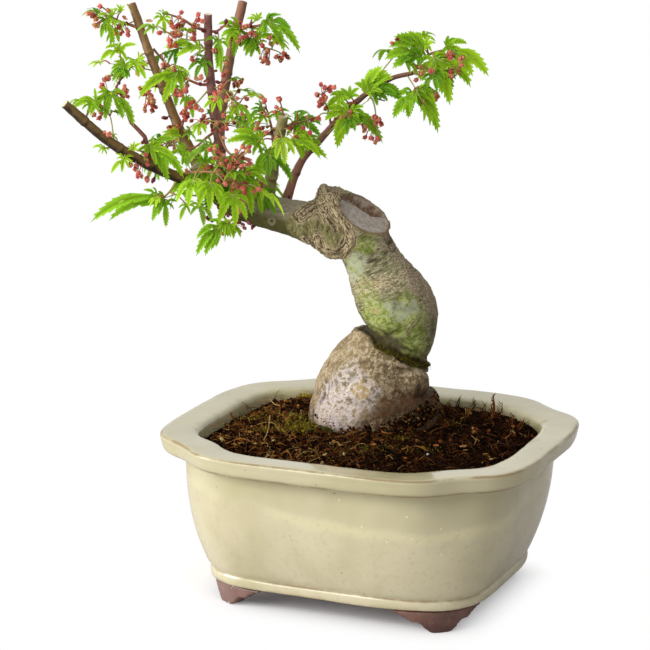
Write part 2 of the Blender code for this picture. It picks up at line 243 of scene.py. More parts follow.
# The oblong under the pot where the floor takes a shadow, in metres, and how the glow comes back round it
SHADOW_HALF_SIDES = (("X", 0.062), ("Y", 0.036))
SHADOW_FADE = (-0.004, 0.026)
BOUNCE_SHADE = (0.55, 0.53, 0.50)
BOUNCE_DROP = 0.0005
CARD_SIDE = 0.7
CARD_PLACE = (0.62, 0.1, 0.25)
CARD_SHADE = (0.06, 0.06, 0.06)
SKY_STRENGTH = 0.85
LAMP_SIDE = 420
LAMP_AIM = (0.0, 0.0, 90.0)


def lamp(name, place_mm, power):
    """A soft square lamp at a place, turned to the lamps' aim."""
    spot = Vector(place_mm) * MM
    turn = (Vector(LAMP_AIM) * MM - spot).to_track_quat("-Z", "Y").to_euler()
    bpy.ops.object.light_add(type="AREA", location=spot, rotation=turn)
    made = bpy.context.object
    made.name = name
    made.data.shape = "RECTANGLE"
    made.data.size = LAMP_SIDE * MM
    made.data.size_y = LAMP_SIDE * MM
    made.data.energy = power


bpy.ops.mesh.primitive_plane_add(size=FLOOR_SIDE, location=(0.0, 0.0, 0.0))
floor = bpy.context.object
floor.name = "floor"
floor_paint = Finish("floor_paint", FLOOR_SHADE, 0.9)
floor_paint.set(**{"Specular IOR Level": 0.0, "Emission Strength": FLOOR_GLOW})
spot = floor_paint.object_place()
gaps = []
for letter, half_side in SHADOW_HALF_SIDES:
    across = floor_paint.maths("ABSOLUTE", floor_paint.axis(spot, letter))
    gaps.append(floor_paint.maths("MAXIMUM", across - half_side, 0.0))
reach = (gaps[0] * gaps[0] + gaps[1] * gaps[1]) ** 0.5
glow = floor_paint.step(reach, *SHADOW_FADE)
floor_paint.set(**{"Base Color": floor_paint.mix(FLOOR_SHADE, (0.0, 0.0, 0.0), glow), "Emission Color": glow})
floor.data.materials.append(floor_paint.material)
floor.visible_diffuse = False
floor.visible_glossy = False
floor.visible_shadow = False

bpy.ops.mesh.primitive_plane_add(size=FLOOR_SIDE, location=(0.0, 0.0, -BOUNCE_DROP))
ground = bpy.context.object
ground.name = "ground"
ground.data.materials.append(Finish("ground_paint", BOUNCE_SHADE, 0.9).material)
ground.visible_camera = False

bpy.ops.mesh.primitive_plane_add(size=CARD_SIDE, location=CARD_PLACE, rotation=(0.0, math.pi / 2, 0.0))
card = bpy.context.object
card.name = "black_card"
card.data.materials.append(Finish("black_card_paint", CARD_SHADE, 0.9).material)
card.visible_camera = False
card.visible_shadow = False

sky = bpy.data.worlds.new("white_sky")
sky.use_nodes = True
sky.node_tree.nodes["Background"].inputs["Color"].default_value = (1.0, 1.0, 1.0, 1.0)
sky.node_tree.nodes["Background"].inputs["Strength"].default_value = SKY_STRENGTH
bpy.context.scene.world = sky
bpy.context.scene.view_settings.view_transform = "Standard"

lamp("key_left", (-760, -460, 320), 5.5)
lamp("key_front", (-350, -800, 520), 5.0)

# %% [markdown]
# Many pieces are heaps of small things: crumbs, fibres, leaves, flowers. A `Heap` gathers their points and
# faces, with a finish for each face, and becomes one joined mesh at the end. It also draws thin stalks as
# tapered tubes.

# %% Heaps of small shapes
def piece_from(name, points, faces, finishes, slots=None, smooth=True):
    """A mesh object at the origin. Points are in metres."""
    mesh = bpy.data.meshes.new(name)
    mesh.from_pydata([tuple(p) for p in points], [], faces)
    for finish in finishes:
        mesh.materials.append(finish.material)
    if slots is not None:
        mesh.polygons.foreach_set("material_index", slots)
    if smooth:
        mesh.shade_smooth()
    made = bpy.data.objects.new(name, mesh)
    bpy.context.scene.collection.objects.link(made)
    return made


def take(*pieces):
    """Selects some pieces and makes the first the active one."""
    bpy.ops.object.select_all(action="DESELECT")
    for piece in pieces:
        piece.select_set(True)
    bpy.context.view_layer.objects.active = pieces[0]


def note(mesh, name, values):
    """Keeps one number for each point of a mesh, which a finish reads by its name."""
    mesh.attributes.new(name, "FLOAT", "POINT").data.foreach_set("value", values)


def array_of(mesh, what):
    """The places or the normals of a mesh's points, as rows of three numbers."""
    numbers = np.zeros(len(mesh.vertices) * 3)
    mesh.vertices.foreach_get(what, numbers)
    return numbers.reshape(-1, 3)


def ray_net(made, unit=MM):
    """The faces of a piece as a net that a line of sight can be sent at, measured in a unit."""
    corners = [vertex.co / unit for vertex in made.data.vertices]
    return BVHTree.FromPolygons(corners, [face.vertices for face in made.data.polygons])


def tube_faces(rings, sides, closed=True):
    """The faces of a tube of rings of points, with an end cap on either end if it is closed."""
    faces = []
    for low in range(0, (rings - 1) * sides, sides):
        for i in range(sides):
            j = (i + 1) % sides
            faces.append((low + i, low + j, low + sides + j, low + sides + i))
    if closed:
        last = (rings - 1) * sides
        faces.append(tuple(reversed(range(sides))))
        faces.append(tuple(range(last, last + sides)))
    return faces


def hand_in(made, slot, *nodes):
    """Lets a finished piece ride with the plant and hides the nodes that it stands for. The slot is not used.
    """
    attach(made, "root")
    if nodes:
        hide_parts(*nodes)
    print(made.name, "triangles", sum(len(face.vertices) - 2 for face in made.data.polygons))


class Heap:
    """Many small shapes on their way to one mesh. Points are millimetres in the tree's frame."""

    def __init__(self):
        self.points = []
        self.faces = []
        self.slots = []
        self.shares = []

    def add(self, points, faces, slots, shares=None):
        start = len(self.points)
        self.shares += shares or [0.5] * len(points)
        self.points += [Vector(p) for p in points]
        self.faces += [tuple(start + i for i in face) for face in faces]
        self.slots += [slots] * len(faces) if isinstance(slots, int) else list(slots)

    def stalk(self, route, start_width, end_width, slot, sides=5):
        """A closed tapered tube along a route of points."""
        points = []
        seen_side = None
        for k, here in enumerate(route):
            ahead = (route[min(k + 1, len(route) - 1)] - route[max(k - 1, 0)]).normalized()
            if seen_side is None:
                seen_side = ahead.orthogonal().normalized()
            seen_side = (seen_side - ahead * seen_side.dot(ahead)).normalized()
            other = ahead.cross(seen_side)
            width = start_width + (end_width - start_width) * k / (len(route) - 1)
            for i in range(sides):
                turn = 2 * math.pi * i / sides
                points.append(here + (seen_side * math.cos(turn) + other * math.sin(turn)) * width / 2)
        self.add(points, tube_faces(len(route), sides), slot)

    def make(self, name, finishes, smooth=True):
        points = [tree_frame @ (p * MM) for p in self.points]
        made = piece_from(name, points, self.faces, finishes, self.slots, smooth)
        note(made.data, "share", self.shares)
        return made


def arc(start, end, rise, steps=6):
    """A route from start to end that bows out by rise at its middle."""
    rise = Vector(rise)
    return [start.lerp(end, k / steps) + rise * math.sin(math.pi * k / steps) for k in range(steps + 1)]


# %% [markdown]
# ## The pot
# The pot's plan is an oblong whose corners step in and out, as if folded. By hand one draws that plan once
# as a smooth curve, turns it into a loop of edges, and then extrudes it ring by ring: each ring is lifted
# and scaled, which draws the base band, the bowed wall, the two rolls of the lip, the broad sloping rim and
# the inner wall. Each ring also notes how thin the glaze runs there, because thin glaze shows the brown
# clay along every edge.

# %% Glaze and clay
CREAM = (0.47, 0.42, 0.265)
CREAM_PALE = (0.55, 0.495, 0.335)
CREAM_GREEN = (0.385, 0.35, 0.19)
CREAM_YELLOW = (0.60, 0.555, 0.33)
CREAM_BRIGHT = (0.50, 0.47, 0.28)
CREAM_DULL = (0.40, 0.36, 0.24)
THIN_BROWN = (0.22, 0.14, 0.05)
STAIN = (0.28, 0.25, 0.10)
PINHOLE = (0.05, 0.03, 0.015)
CLAY = (0.12, 0.05, 0.04)
CLAY_DARK = (0.075, 0.031, 0.024)
CLAY_LIGHT = (0.19, 0.09, 0.069)
# Painted light for the feet on the left, where the lamps stand
CLAY_PAINTED_LIGHT = (0.33, 0.22, 0.195)
CLAY_SAND = (0.45, 0.33, 0.2)
CLAY_DUST = (0.26, 0.14, 0.12)
# Painted highlight: white glints on the feet on the left
CLAY_PAINTED_GLINT = (0.80, 0.78, 0.75)


def glaze_finish():
    glaze = Finish("celadon_glaze", CREAM, 0.16)
    glaze.set(**{"Coat Weight": 0.35, "Coat Roughness": 0.06, "IOR": 1.5})
    spot = glaze.object_place()
    clouds = glaze.grain(spot, 22.0, 3.0, 0.6, 0.4)
    fine = glaze.grain(spot, 240.0, 2.0, 0.5)
    mottle = glaze.step(glaze.grain(spot, 420.0, 3.0, 0.6), 0.5, 0.72)

    # The upper wall is greener, and that part ends in a wavy yellow edge
    level = glaze.axis(spot, "Z") / MM + glaze.grain(spot, 13.0, 2.0, 0.4) * 34.0 - 17.0
    upper = glaze.step(level, 46.0, 53.0)
    run = glaze.step(level, 43.5, 47.0) * glaze.step(level, 50.5, 47.5)
    run = run * glaze.step(glaze.grain(spot, 21.0, 1.0), 0.4, 0.6)

    patchy = glaze.grain(spot, 70.0, 4.0, 0.65)
    thin = glaze.noted("thin_glaze") * (glaze.step(patchy, 0.3, 0.6) * 0.7 + 0.3)
    dirty = glaze.noted("stain") * glaze.step(glaze.grain(spot, 120.0, 5.0, 0.7), 0.46, 0.7)
    rare = glaze.step(glaze.grain(spot, 31.0, 1.0), 0.66, 0.7)
    pinhole = glaze.step(glaze.cells(spot, 130.0), 0.085, 0.05) * rare
    colour = glaze.coats(
        glaze.mix(CREAM, CREAM_PALE, glaze.step(clouds, 0.42, 0.68)),
        (CREAM_GREEN, glaze.step(clouds, 0.52, 0.3) * 0.6),
        (CREAM_BRIGHT, glaze.step(fine, 0.55, 0.75) * 0.18),
        (CREAM_GREEN, upper * 0.42),
        (CREAM_YELLOW, run * 0.6),
        (CREAM_DULL, mottle * 0.4 * (1 - upper)),
        (THIN_BROWN, glaze.step(thin, 0.3, 0.9) * 0.8),
        (STAIN, dirty * 0.75),
        (PINHOLE, pinhole))
    glaze.set(**{"Base Color": colour, "Roughness": 0.13 + thin * 0.25 + dirty * 0.3 + pinhole * 0.4})
    ripple = glaze.grain(spot, 60.0, 2.0, 0.5)
    glaze.raise_surface(ripple * 0.8 + fine * 0.08 - pinhole * 0.6, 0.5, 0.5)
    return glaze


def clay_finish():
    clay = Finish("bare_clay", CLAY, 0.45)
    spot = clay.object_place()
    clouds = clay.grain(spot, 60.0, 4.0, 0.6)
    # Painted light: towards the left, where the lamps stand, the clay is painted lighter
    painted_light_left = clay.step(clay.axis(spot, "X") / MM, 5.0, -35.0)
    grit = clay.step(clay.cells(spot, 900.0), 0.22, 0.1) * clay.step(clay.grain(spot, 150.0, 2.0), 0.5, 0.62)
    dust = clay.step(clay.grain(spot, 35.0, 3.0), 0.5, 0.75)
    # Painted highlights: small white glints, only towards the left
    painted_glint = clay.step(clay.grain(spot, 300.0, 2.0), 0.66, 0.70) * painted_light_left
    colour = clay.coats(
        clay.mix(CLAY_DARK, CLAY_LIGHT, clay.step(clouds, 0.3, 0.7)),
        (CLAY_PAINTED_LIGHT, painted_light_left * (0.15 + clouds * 0.5)),
        (CLAY_SAND, grit * 0.8),
        (CLAY_DUST, dust * 0.4),
        (CLAY_PAINTED_GLINT, painted_glint))
    clay.set(**{"Base Color": colour, "Roughness": 0.32 + clouds * 0.35 + grit * 0.2})
    clay.raise_surface(clay.grain(spot, 420.0, 4.0, 0.65) * 0.6 + clouds * 0.6, 0.35, 0.7)
    return clay


glaze = glaze_finish()
bare_clay = clay_finish()

# %% [markdown]
# The plan comes from eight corners of a quarter, mirrored to all four, under a smooth spline. Lower down
# the wall the folds of the corners die away, so a last pass over the points eases each ring towards a plain
# rounded oblong.

# %% Pot rings
HALF_LENGTH = (pot_high.x - pot_low.x) / 2 / MM
HALF_WIDTH = (pot_high.y - pot_low.y) / 2 / MM
FOOT_HEIGHT = 9.5
GLAZE_FOOT = 9.62
BAND_TOP = 14.1
WALL_HEIGHTS = (15.6, 17.6, 20.5, 24.5, 29.0, 34.0, 40.0, 46.0, 52.0, 56.5, 59.6)
FOLDS_FROM = 61.0
LIP_FOOT = 61.9
WALL_TOP_INSET = 9.6
WALL_FOOT_INSET = 20.0
WALL_BOW = 2.3
CORNER_ROUNDNESS = 4.2
CURVE_STEPS = 6
# The insets between which the rim is stained by water, and the height from which it is
STAINED_RIM = (11.0, 18.0)
STAINED_FROM = 58.0
RIM_QUARTER = (
    (80.0, 8.0), (80.0, 27.1), (75.3, 46.6), (58.8, 56.1),
    (48.2, 67.5), (31.8, 70.6), (17.5, 70.6), (6.4, 70.6))
# Rings of the section: inset from the rim's plan, height, and how thin the glaze is
BAND_RINGS = (
    (24.0, 9.6, 0.2), (21.2, 9.5, 0.7), (20.4, 9.7, 0.9), (20.1, 10.3, 0.55), (19.95, 11.4, 0.38),
    (19.95, 12.6, 0.38), (20.15, 13.3, 0.45), (20.45, 13.8, 0.85), (20.35, 14.3, 0.6))
LIP_RINGS = (
    (8.4, 61.4, 0.2), (5.6, 61.3, 0.5), (3.9, 61.4, 0.8), (2.6, 61.8, 1.0), (1.75, 62.5, 0.85),
    (1.25, 63.1, 0.45), (0.95, 64.0, 0.05), (0.75, 64.9, 0.0), (0.6, 65.6, 0.0), (0.45, 66.6, 0.0),
    (0.2, 67.5, 0.0), (0.08, 68.2, 0.1), (0.2, 68.65, 0.9), (0.55, 68.98, 1.0), (1.1, 69.2, 0.6),
    (1.9, 69.3, 0.15), (3.4, 69.2, 0.0), (6.0, 69.1, 0.0), (9.4, 68.9, 0.0), (12.0, 68.7, 0.1),
    (13.4, 68.35, 0.3), (14.2, 67.6, 0.45), (14.6, 66.2, 0.2), (14.9, 63.0, 0.1), (15.6, 60.0, 0.1),
    (17.0, 50.0, 0.0), (19.0, 38.0, 0.0), (30.0, 37.0, 0.0))


def wall_inset(height):
    share = min(max((height - BAND_TOP) / (LIP_FOOT - BAND_TOP), 0.0), 1.0)
    return WALL_TOP_INSET + (WALL_FOOT_INSET - WALL_TOP_INSET) * (1 - share) ** WALL_BOW


def pot_plan(name):
    """The rim's plan as a loop of edges, in the pot's own millimetres."""
    corner = list(RIM_QUARTER)
    corner += [(-x, y) for x, y in reversed(RIM_QUARTER)]
    corner += [(-x, -y) for x, y in RIM_QUARTER]
    corner += [(x, -y) for x, y in reversed(RIM_QUARTER)]
    curve = bpy.data.curves.new(name, "CURVE")
    curve.dimensions = "3D"
    curve.resolution_u = CURVE_STEPS
    spline = curve.splines.new("NURBS")
    spline.points.add(len(corner) - 1)
    for point, (x, y) in zip(spline.points, corner):
        point.co = (x * MM, y * MM, 0.0, 1.0)
    spline.use_cyclic_u = True
    spline.order_u = 3
    made = bpy.data.objects.new(name, curve)
    bpy.context.scene.collection.objects.link(made)
    take(made)
    bpy.ops.object.convert(target="MESH")
    return bpy.context.object


def raise_rings(rings):
    """Extrudes the active loop of edges through rings, each lifted and scaled from the last."""
    bpy.ops.object.mode_set(mode="EDIT")
    bpy.ops.mesh.select_mode(type="VERT")
    bpy.ops.mesh.select_all(action="SELECT")
    inset, height = 0.0, 0.0
    for k, (next_inset, next_height, _) in enumerate(rings):
        lift = (0.0, 0.0, (next_height - height) * MM)
        if k:
            bpy.ops.mesh.extrude_region_move(TRANSFORM_OT_translate={"value": lift})
        else:
            bpy.ops.transform.translate(value=lift)
        shrink = [(half - next_inset) / (half - inset) for half in (HALF_LENGTH, HALF_WIDTH)]
        bpy.ops.transform.resize(value=(*shrink, 1.0), center_override=(0.0, 0.0, 0.0))
        inset, height = next_inset, next_height
    bpy.ops.object.mode_set(mode="OBJECT")


def ease_corners(points, insets):
    """Turns the folded corners into round ones, the more the lower on the wall."""
    share = (points[:, 2] / MM - FOOT_HEIGHT) / (LIP_FOOT - FOOT_HEIGHT)
    plain = np.clip(1.1 - 0.9 * share, 0.0, 1.0)
    plain[points[:, 2] / MM > FOLDS_FROM] = 0.0
    u = np.abs(points[:, 0]) / MM / (HALF_LENGTH - insets)
    v = np.abs(points[:, 1]) / MM / (HALF_WIDTH - insets)
    stretch = (u ** CORNER_ROUNDNESS + v ** CORNER_ROUNDNESS) ** (-1 / CORNER_ROUNDNESS)
    points[:, :2] *= (1 + (stretch - 1) * plain)[:, None]


def build_pot():
    """The pot's skin, raised from its plan, smoothed, closed and given its two finishes."""
    rings = [*BAND_RINGS, *((wall_inset(z), z, 0.0) for z in WALL_HEIGHTS), *LIP_RINGS]
    pot = pot_plan("pot_body")
    around = len(pot.data.vertices)
    raise_rings(rings)
    mesh = pot.data
    points = array_of(mesh, "co")
    insets, heights, thins = np.array(rings)[np.arange(len(points)) // around].T.copy()
    ease_corners(points, insets)
    points[:, :2] += np.array(pot_middle)[:2]
    mesh.vertices.foreach_set("co", points.ravel())
    note(mesh, "thin_glaze", thins)
    on_rim = (insets > STAINED_RIM[0]) & (insets < STAINED_RIM[1]) & (heights > STAINED_FROM)
    note(mesh, "stain", on_rim.astype(float))
    smoother = pot.modifiers.new("smooth", "SUBSURF")
    smoother.levels = 1
    smoother.render_levels = 1
    bpy.ops.object.modifier_apply(modifier="smooth")
    bpy.ops.object.mode_set(mode="EDIT")
    bpy.ops.mesh.select_all(action="DESELECT")
    bpy.ops.mesh.select_non_manifold()
    bpy.ops.mesh.edge_face_add()
    bpy.ops.mesh.select_all(action="SELECT")
    bpy.ops.mesh.normals_make_consistent(inside=False)
    bpy.ops.object.mode_set(mode="OBJECT")
    press_by_hand(pot, depth_mm=0.3, scale=0.03)
    mesh.shade_smooth()
    mesh.materials.append(glaze.material)
    mesh.materials.append(bare_clay.material)
    for face in mesh.polygons:
        face.material_index = 1 if face.center.z < GLAZE_FOOT * MM else 0
    return pot


def press_by_hand(made, depth_mm, scale):
    """Moves a surface in and out a little, as a hand-pressed pot shows."""
    spots = [vertex.co.copy() for vertex in made.data.vertices]
    normals = [vertex.normal.copy() for vertex in made.data.vertices]
    for k, (spot, normal) in enumerate(zip(spots, normals)):
        wave = noise.noise(spot / MM * scale) + 0.4 * noise.noise(spot / MM * scale * 4)
        spots[k] = spot + normal * wave * depth_mm * MM
    made.data.vertices.foreach_set("co", np.array(spots).ravel())


pot = build_pot()
hand_in(pot, "glaze", "pot")

# %% [markdown]
# ## The feet
# Four bracket feet sit under the corners of the base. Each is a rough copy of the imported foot, melted
# together into fine even faces and rubbed smooth, then roughened by a little noise: hand-pressed clay has
# no sharp edge.

# %% Feet
def copy_of(node, name):
    """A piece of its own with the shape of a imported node, in the model's frame."""
    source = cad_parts[node]
    mesh = source.data.copy()
    mesh.transform(source.matrix_world)
    mesh.materials.clear()
    made = bpy.data.objects.new(name, mesh)
    bpy.context.scene.collection.objects.link(made)
    return made


def melt(made, voxel_mm, rounds):
    """Melts a piece into one skin of even faces and rubs it smooth."""
    take(made)
    remesh = made.modifiers.new("melt", "REMESH")
    remesh.mode = "VOXEL"
    remesh.voxel_size = voxel_mm * MM
    bpy.ops.object.modifier_apply(modifier="melt")
    rub = made.modifiers.new("rub", "SMOOTH")
    rub.factor = 0.5
    rub.iterations = rounds
    bpy.ops.object.modifier_apply(modifier="rub")
    made.data.shade_smooth()


for corner in ("front_left", "front_right", "back_left", "back_right"):
    foot = copy_of("foot_" + corner, "clay_foot_" + corner)
    melt(foot, voxel_mm=0.7, rounds=3)
    press_by_hand(foot, depth_mm=0.12, scale=0.22)
    foot.data.materials.append(bare_clay.material)
    hand_in(foot, "bare_clay", "foot_" + corner)

# %% [markdown]
# ## The trunk
# The trunk is a stack of rings along a bent line: a broad foot, a creased waist, a bulge, a leaning neck
# and an old cut across the top. The main bough leaves it to the left. Rolls and lumps are laid on where
# bark has folded, and everything is melted into one skin so fine that relief can be drawn in it.

# %% Sweeps along a smooth line
TRUNK = (
    (-1.0, 0.0, 62.0, 27.0), (-1.0, 0.0, 66.7, 27.4), (-1.0, 0.0, 74.0, 26.8), (-0.8, 0.0, 82.0, 23.6),
    (1.6, 0.0, 90.0, 19.6), (6.2, 0.0, 98.0, 15.8), (9.6, 0.0, 104.5, 14.4), (9.4, 0.0, 111.0, 15.2),
    (6.4, 0.0, 118.0, 15.4), (1.8, 0.0, 126.0, 13.6), (-2.4, 0.0, 134.5, 11.5), (-6.4, 0.0, 143.0, 11.5),
    (-9.8, 0.0, 150.0, 12.1), (-13.4, 0.0, 156.0, 11.2), (-17.4, 0.0, 161.6, 8.8), (-20.2, 0.0, 164.6, 4.6))
PRUNED_FACE = seen(362, 214.5, -1.5)
PRUNED_NORMAL = Vector((0.45, -0.42, 0.80)).normalized()
CUT_LONG = Vector((0.871, 0.0, -0.49)).normalized()
CUT_DEEP = PRUNED_NORMAL.cross(CUT_LONG).normalized()
BOUGH_MAIN = (
    (-14.0, 0.0, 148.4, 9.6), (-23.2, -1.0, 149.0, 9.0), (-35.5, -2.0, 152.6, 7.4), (-47.7, -3.0, 155.8, 6.4),
    (-58.7, -3.0, 159.4, 5.8), (-67.8, -2.4, 166.0, 4.6), (-75.0, -0.6, 174.6, 3.1))


def smooth_rows(stations, count):
    """Stations of (across, back, up, half width) drawn through a smooth line and spaced evenly."""
    rows = np.array(stations, float)
    padded = np.vstack([2 * rows[0] - rows[1], rows, 2 * rows[-1] - rows[-2]])
    fine = []
    for k in range(1, len(padded) - 2):
        a, b, c, d = padded[k - 1:k + 3]
        for t in np.linspace(0, 1, 24, endpoint=False):
            bend = (2 * a - 5 * b + 4 * c - d) * t * t + (3 * b - a - 3 * c + d) * t ** 3
            fine.append(0.5 * (2 * b + (c - a) * t + bend))
    fine = np.array([*fine, rows[-1]])
    run = np.concatenate([[0], np.cumsum(np.linalg.norm(np.diff(fine[:, :3], axis=0), axis=1))])
    spots = np.linspace(0, run[-1], count)
    return np.stack([np.interp(spots, run, fine[:, i]) for i in range(4)], axis=1)


def sweep(stations, count, sides, depth=1.0, level_start=False, swell=None):
    """Points and faces of a closed tube; swell takes the share along it and the turn round it."""
    rows = smooth_rows(stations, count)
    points = []
    seen_side = None
    for k, row in enumerate(rows):
        ahead = Vector(rows[min(k + 1, count - 1)][:3] - rows[max(k - 1, 0)][:3]).normalized()
        if k == 0 and level_start:
            ahead = Vector((0, 0, 1))
        if seen_side is None:
            seen_side = (Vector((0, 1, 0)) if abs(ahead.y) < 0.75 else Vector((0, 0, 1))).cross(ahead)
        seen_side = (seen_side - ahead * seen_side.dot(ahead)).normalized()
        behind = ahead.cross(seen_side)
        middle = Vector(row[:3])
        for i in range(sides):
            turn = 2 * math.pi * i / sides
            out = row[3] * (swell(k / (count - 1), turn) if swell else 1.0)
            across = seen_side * (math.cos(turn) * out)
            points.append(middle + across + behind * (math.sin(turn) * out * depth))
    return points, tube_faces(count, sides)


def prune(made):
    """Saws the piece across at the old cut and closes it."""
    take(made)
    bpy.ops.object.mode_set(mode="EDIT")
    bpy.ops.mesh.select_all(action="SELECT")
    bpy.ops.mesh.bisect(plane_co=PRUNED_FACE * MM, plane_no=PRUNED_NORMAL, use_fill=True, clear_outer=True)
    bpy.ops.mesh.select_all(action="SELECT")
    bpy.ops.mesh.normals_make_consistent(inside=False)
    bpy.ops.object.mode_set(mode="OBJECT")


def plain_tube(name, stations, count, sides, depth=1.0, level_start=False):
    """A sweep as a piece of its own, in the tree's frame and in metres."""
    points, faces = sweep(stations, count, sides, depth, level_start)
    return piece_from(name, [p * MM for p in points], faces, [])


def join_parts(*parts):
    """Joins some pieces into the first."""
    take(*parts)
    bpy.ops.object.join()
    return parts[0]


guide = plain_tube("trunk_bark", TRUNK, 120, 64, 0.94, True)
prune(guide)
guide = join_parts(guide, plain_tube("bough_shape", BOUGH_MAIN, 60, 40))
guide_net = ray_net(guide)


def on_bark(x, y):
    """The point of the plain trunk or main bough that shows at pixel x, y."""
    ray = (seen(x, y, 0.0) - eye).normalized()
    hit = guide_net.ray_cast(eye, ray)[0]
    return hit if hit is not None else seen(x, y, 0.0)

# %% [markdown]
# The lumps and rolls are placed by the pixel at which they show: the thick lip that grew round the cut, the
# flaky peak of bark beside it, the swollen foot of the bough with a fold of bark round it, and knots lower
# down.

# %% Lumps and folds of bark
CUT_HALF_LONG = 12.5
CUT_HALF_DEEP = 10.9
LIP_INSET = 0.6
# How deep a roll of bark lies in the wood, and how thin its ends are, in shares of its width
ROLL_SINK = 0.4
ROLL_END = 0.55
LOW_RIDGE_WIDTH = 1.9
LOW_RIDGE = ((350, 366), (360, 361), (372, 359), (388, 363.5), (404, 366), (418, 367), (428, 367))
STRANDS = (
    # half width, then the pixels that the strand of old bark runs along
    (1.5, (323, 188), (326, 196), (332, 206), (338, 217), (345, 228), (350, 238)),
    (1.2, (328, 191), (334, 199), (338, 208), (343, 217), (349, 227)),
    (1.0, (320, 190), (318, 198), (320, 208), (327, 218), (335, 228)),
    (1.1, (318, 200), (311, 204), (304, 209), (298, 214)),
    (0.9, (324, 204), (315, 208), (308, 214), (301, 219)),
    (1.5, (350, 234), (351, 242), (347, 250), (340, 255), (332, 256), (324, 251), (319, 244), (317, 237)),
    (0.9, (346, 232), (347, 240), (343, 247), (336, 251), (328, 249)),
    (1.0, (317, 248), (310, 242), (303, 237)),
)
LUMPS = (
    # pixel, how deep the middle sits, radii across, back and up
    ((334, 242), 3.4, (5.8, 5.4, 5.4)),
    ((303, 226), 2.0, (2.9, 3.0, 4.6)),
    ((314, 226), 1.8, (3.0, 3.0, 5.4)),
    ((326, 224), 2.0, (3.0, 3.2, 5.4)),
    ((324, 193), 2.2, (2.4, 4.6, 3.6)),
    ((330, 206), 3.6, (5.0, 5.0, 5.0)),
    ((424, 366), 2.2, (3.4, 3.0, 2.2)),
    ((402, 384), 7.5, (11.0, 9.0, 8.0)),
    ((368, 396), 7.5, (12.0, 9.0, 9.0)),
    ((352, 380), 7.5, (9.0, 8.0, 8.0)),
    ((392, 318), 7.0, (9.0, 8.0, 8.0)),
)


def roll(pixels, width):
    """A roll of bark laid along a row of pixels."""
    route = [on_bark(x, y) for x, y in pixels]
    inward = (route[len(route) // 2] - eye).normalized() * width * ROLL_SINK
    thin_end = width * ROLL_END
    widths = [thin_end, *[width] * (len(route) - 2), thin_end]
    stations = [(*(spot + inward), wide) for spot, wide in zip(route, widths)]
    return plain_tube("roll", stations, 40, 14)


def lump(pixel, sink, radii):
    """A rounded swelling under the bark at a pixel."""
    spot = on_bark(*pixel)
    spot = spot + (spot - eye).normalized() * sink
    bpy.ops.mesh.primitive_uv_sphere_add(
        segments=24, ring_count=14, radius=MM, location=spot * MM, scale=radii)
    bpy.ops.object.transform_apply(location=True, rotation=True, scale=True)
    return bpy.context.object


def cut_lip():
    """The rounded lip that healing wood has grown round the old cut."""
    stations = []
    for k in range(25):
        turn = 2 * math.pi * k / 24
        wave = 1 + 0.025 * math.sin(3 * turn + 1) + 0.015 * math.sin(7 * turn)
        spot = PRUNED_FACE + CUT_LONG * (math.cos(turn) * (CUT_HALF_LONG - LIP_INSET) * wave)
        spot += CUT_DEEP * (math.sin(turn) * (CUT_HALF_DEEP - LIP_INSET) * wave) - PRUNED_NORMAL * 0.5
        stations.append((*spot, 0.95 + 0.15 * math.sin(2 * turn)))
    return plain_tube("lip", stations, 120, 14)


lumps = [lump(*row) for row in LUMPS]
rolls = [roll(pixels, width) for width, *pixels in STRANDS]
trunk = join_parts(guide, *lumps, *rolls, roll(LOW_RIDGE, LOW_RIDGE_WIDTH), cut_lip())
melt(trunk, voxel_mm=0.49, rounds=5)
guide_net = ray_net(trunk)
print("trunk skin faces", len(trunk.data.polygons))

# %% [markdown]
# Relief is drawn into the skin by moving each point along its normal. Heights add up: broad lumps, the
# crease at the waist, wrinkles that run round the stem, flakes on the collar, freckles on the foot. The
# same masks are kept as attributes, so that the colours lie where the relief is.

# %% Bark relief
CREASE_POINT = (393, 351)
CREASE_SLOPE = 0.62
GREEN_SPOTS = (
    (398, 322, 14.0), (376, 320, 11.0), (412, 342, 9.0), (365, 244, 6.5), (352, 262, 6.0), (368, 295, 8.0))
PALE_SPOTS = ((393, 308, 4.2), (401, 311, 4.6), (412, 307, 3.6), (356, 262, 6.0), (352, 276, 4.0))
BAND_PATH = ((350, 277), (360, 287), (385, 284), (410, 280))
STREAK_PATH = ((392, 240), (402, 252), (412, 268), (424, 285), (434, 300))
WART_PATH = ((418, 317), (411, 325), (407, 334))
TAN_SCARS = ((374.5, 311, 1.4), (361, 391, 4.5), (367, 282, 1.2), (377, 283, 1.1))
KNOT = (394.5, 393.5)
CRUST_PATH = ((382, 410), (400, 402), (418, 398), (436, 396))
RING_GAP = 1.05
BOUGH_KNOTS = ((292.5, 229), (272, 221))
# Where the crack of the cut runs: millimetres along the cut and across it
CRACK = ((-13.0, 2.4), (-10.6, 3.0), (-5.0, 3.4), (-1.2, 3.0), (3.7, 2.2), (8.8, 6.0), (13.0, 7.5))
COLLAR_SPOTS = ((302, 226), (315, 228), (328, 230), (336, 243))
LIT_FOOT = ((338, 408), (346, 392), (330, 415))


def ease(value, low, high):
    """A soft step for arrays, from 0 at low to 1 at high."""
    share = np.clip((value - low) / (high - low), 0, 1)
    return share * share * (3 - 2 * share)


def hill(value, middle, width):
    """A smooth hill that is 1 where a value meets its middle."""
    return np.exp(-((value - middle) / width) ** 2)


def far_from(points, spots):
    """Distance of each point from the nearest of some spots."""
    best = np.full(len(points), 1e9)
    for spot in spots:
        best = np.minimum(best, np.linalg.norm(points - np.array(spot), axis=1))
    return best


def spots_at(pixels):
    """The points on the bark that show at some pixels."""
    return [on_bark(x, y) for x, y in pixels]


def line_of(pixels, steps=6):
    """Points on the bark along a row of pixels."""
    spots = []
    for (x0, y0), (x1, y1) in zip(pixels, pixels[1:]):
        spots += [on_bark(x0 + (x1 - x0) * k / steps, y0 + (y1 - y0) * k / steps) for k in range(steps)]
    return [*spots, on_bark(*pixels[-1])]


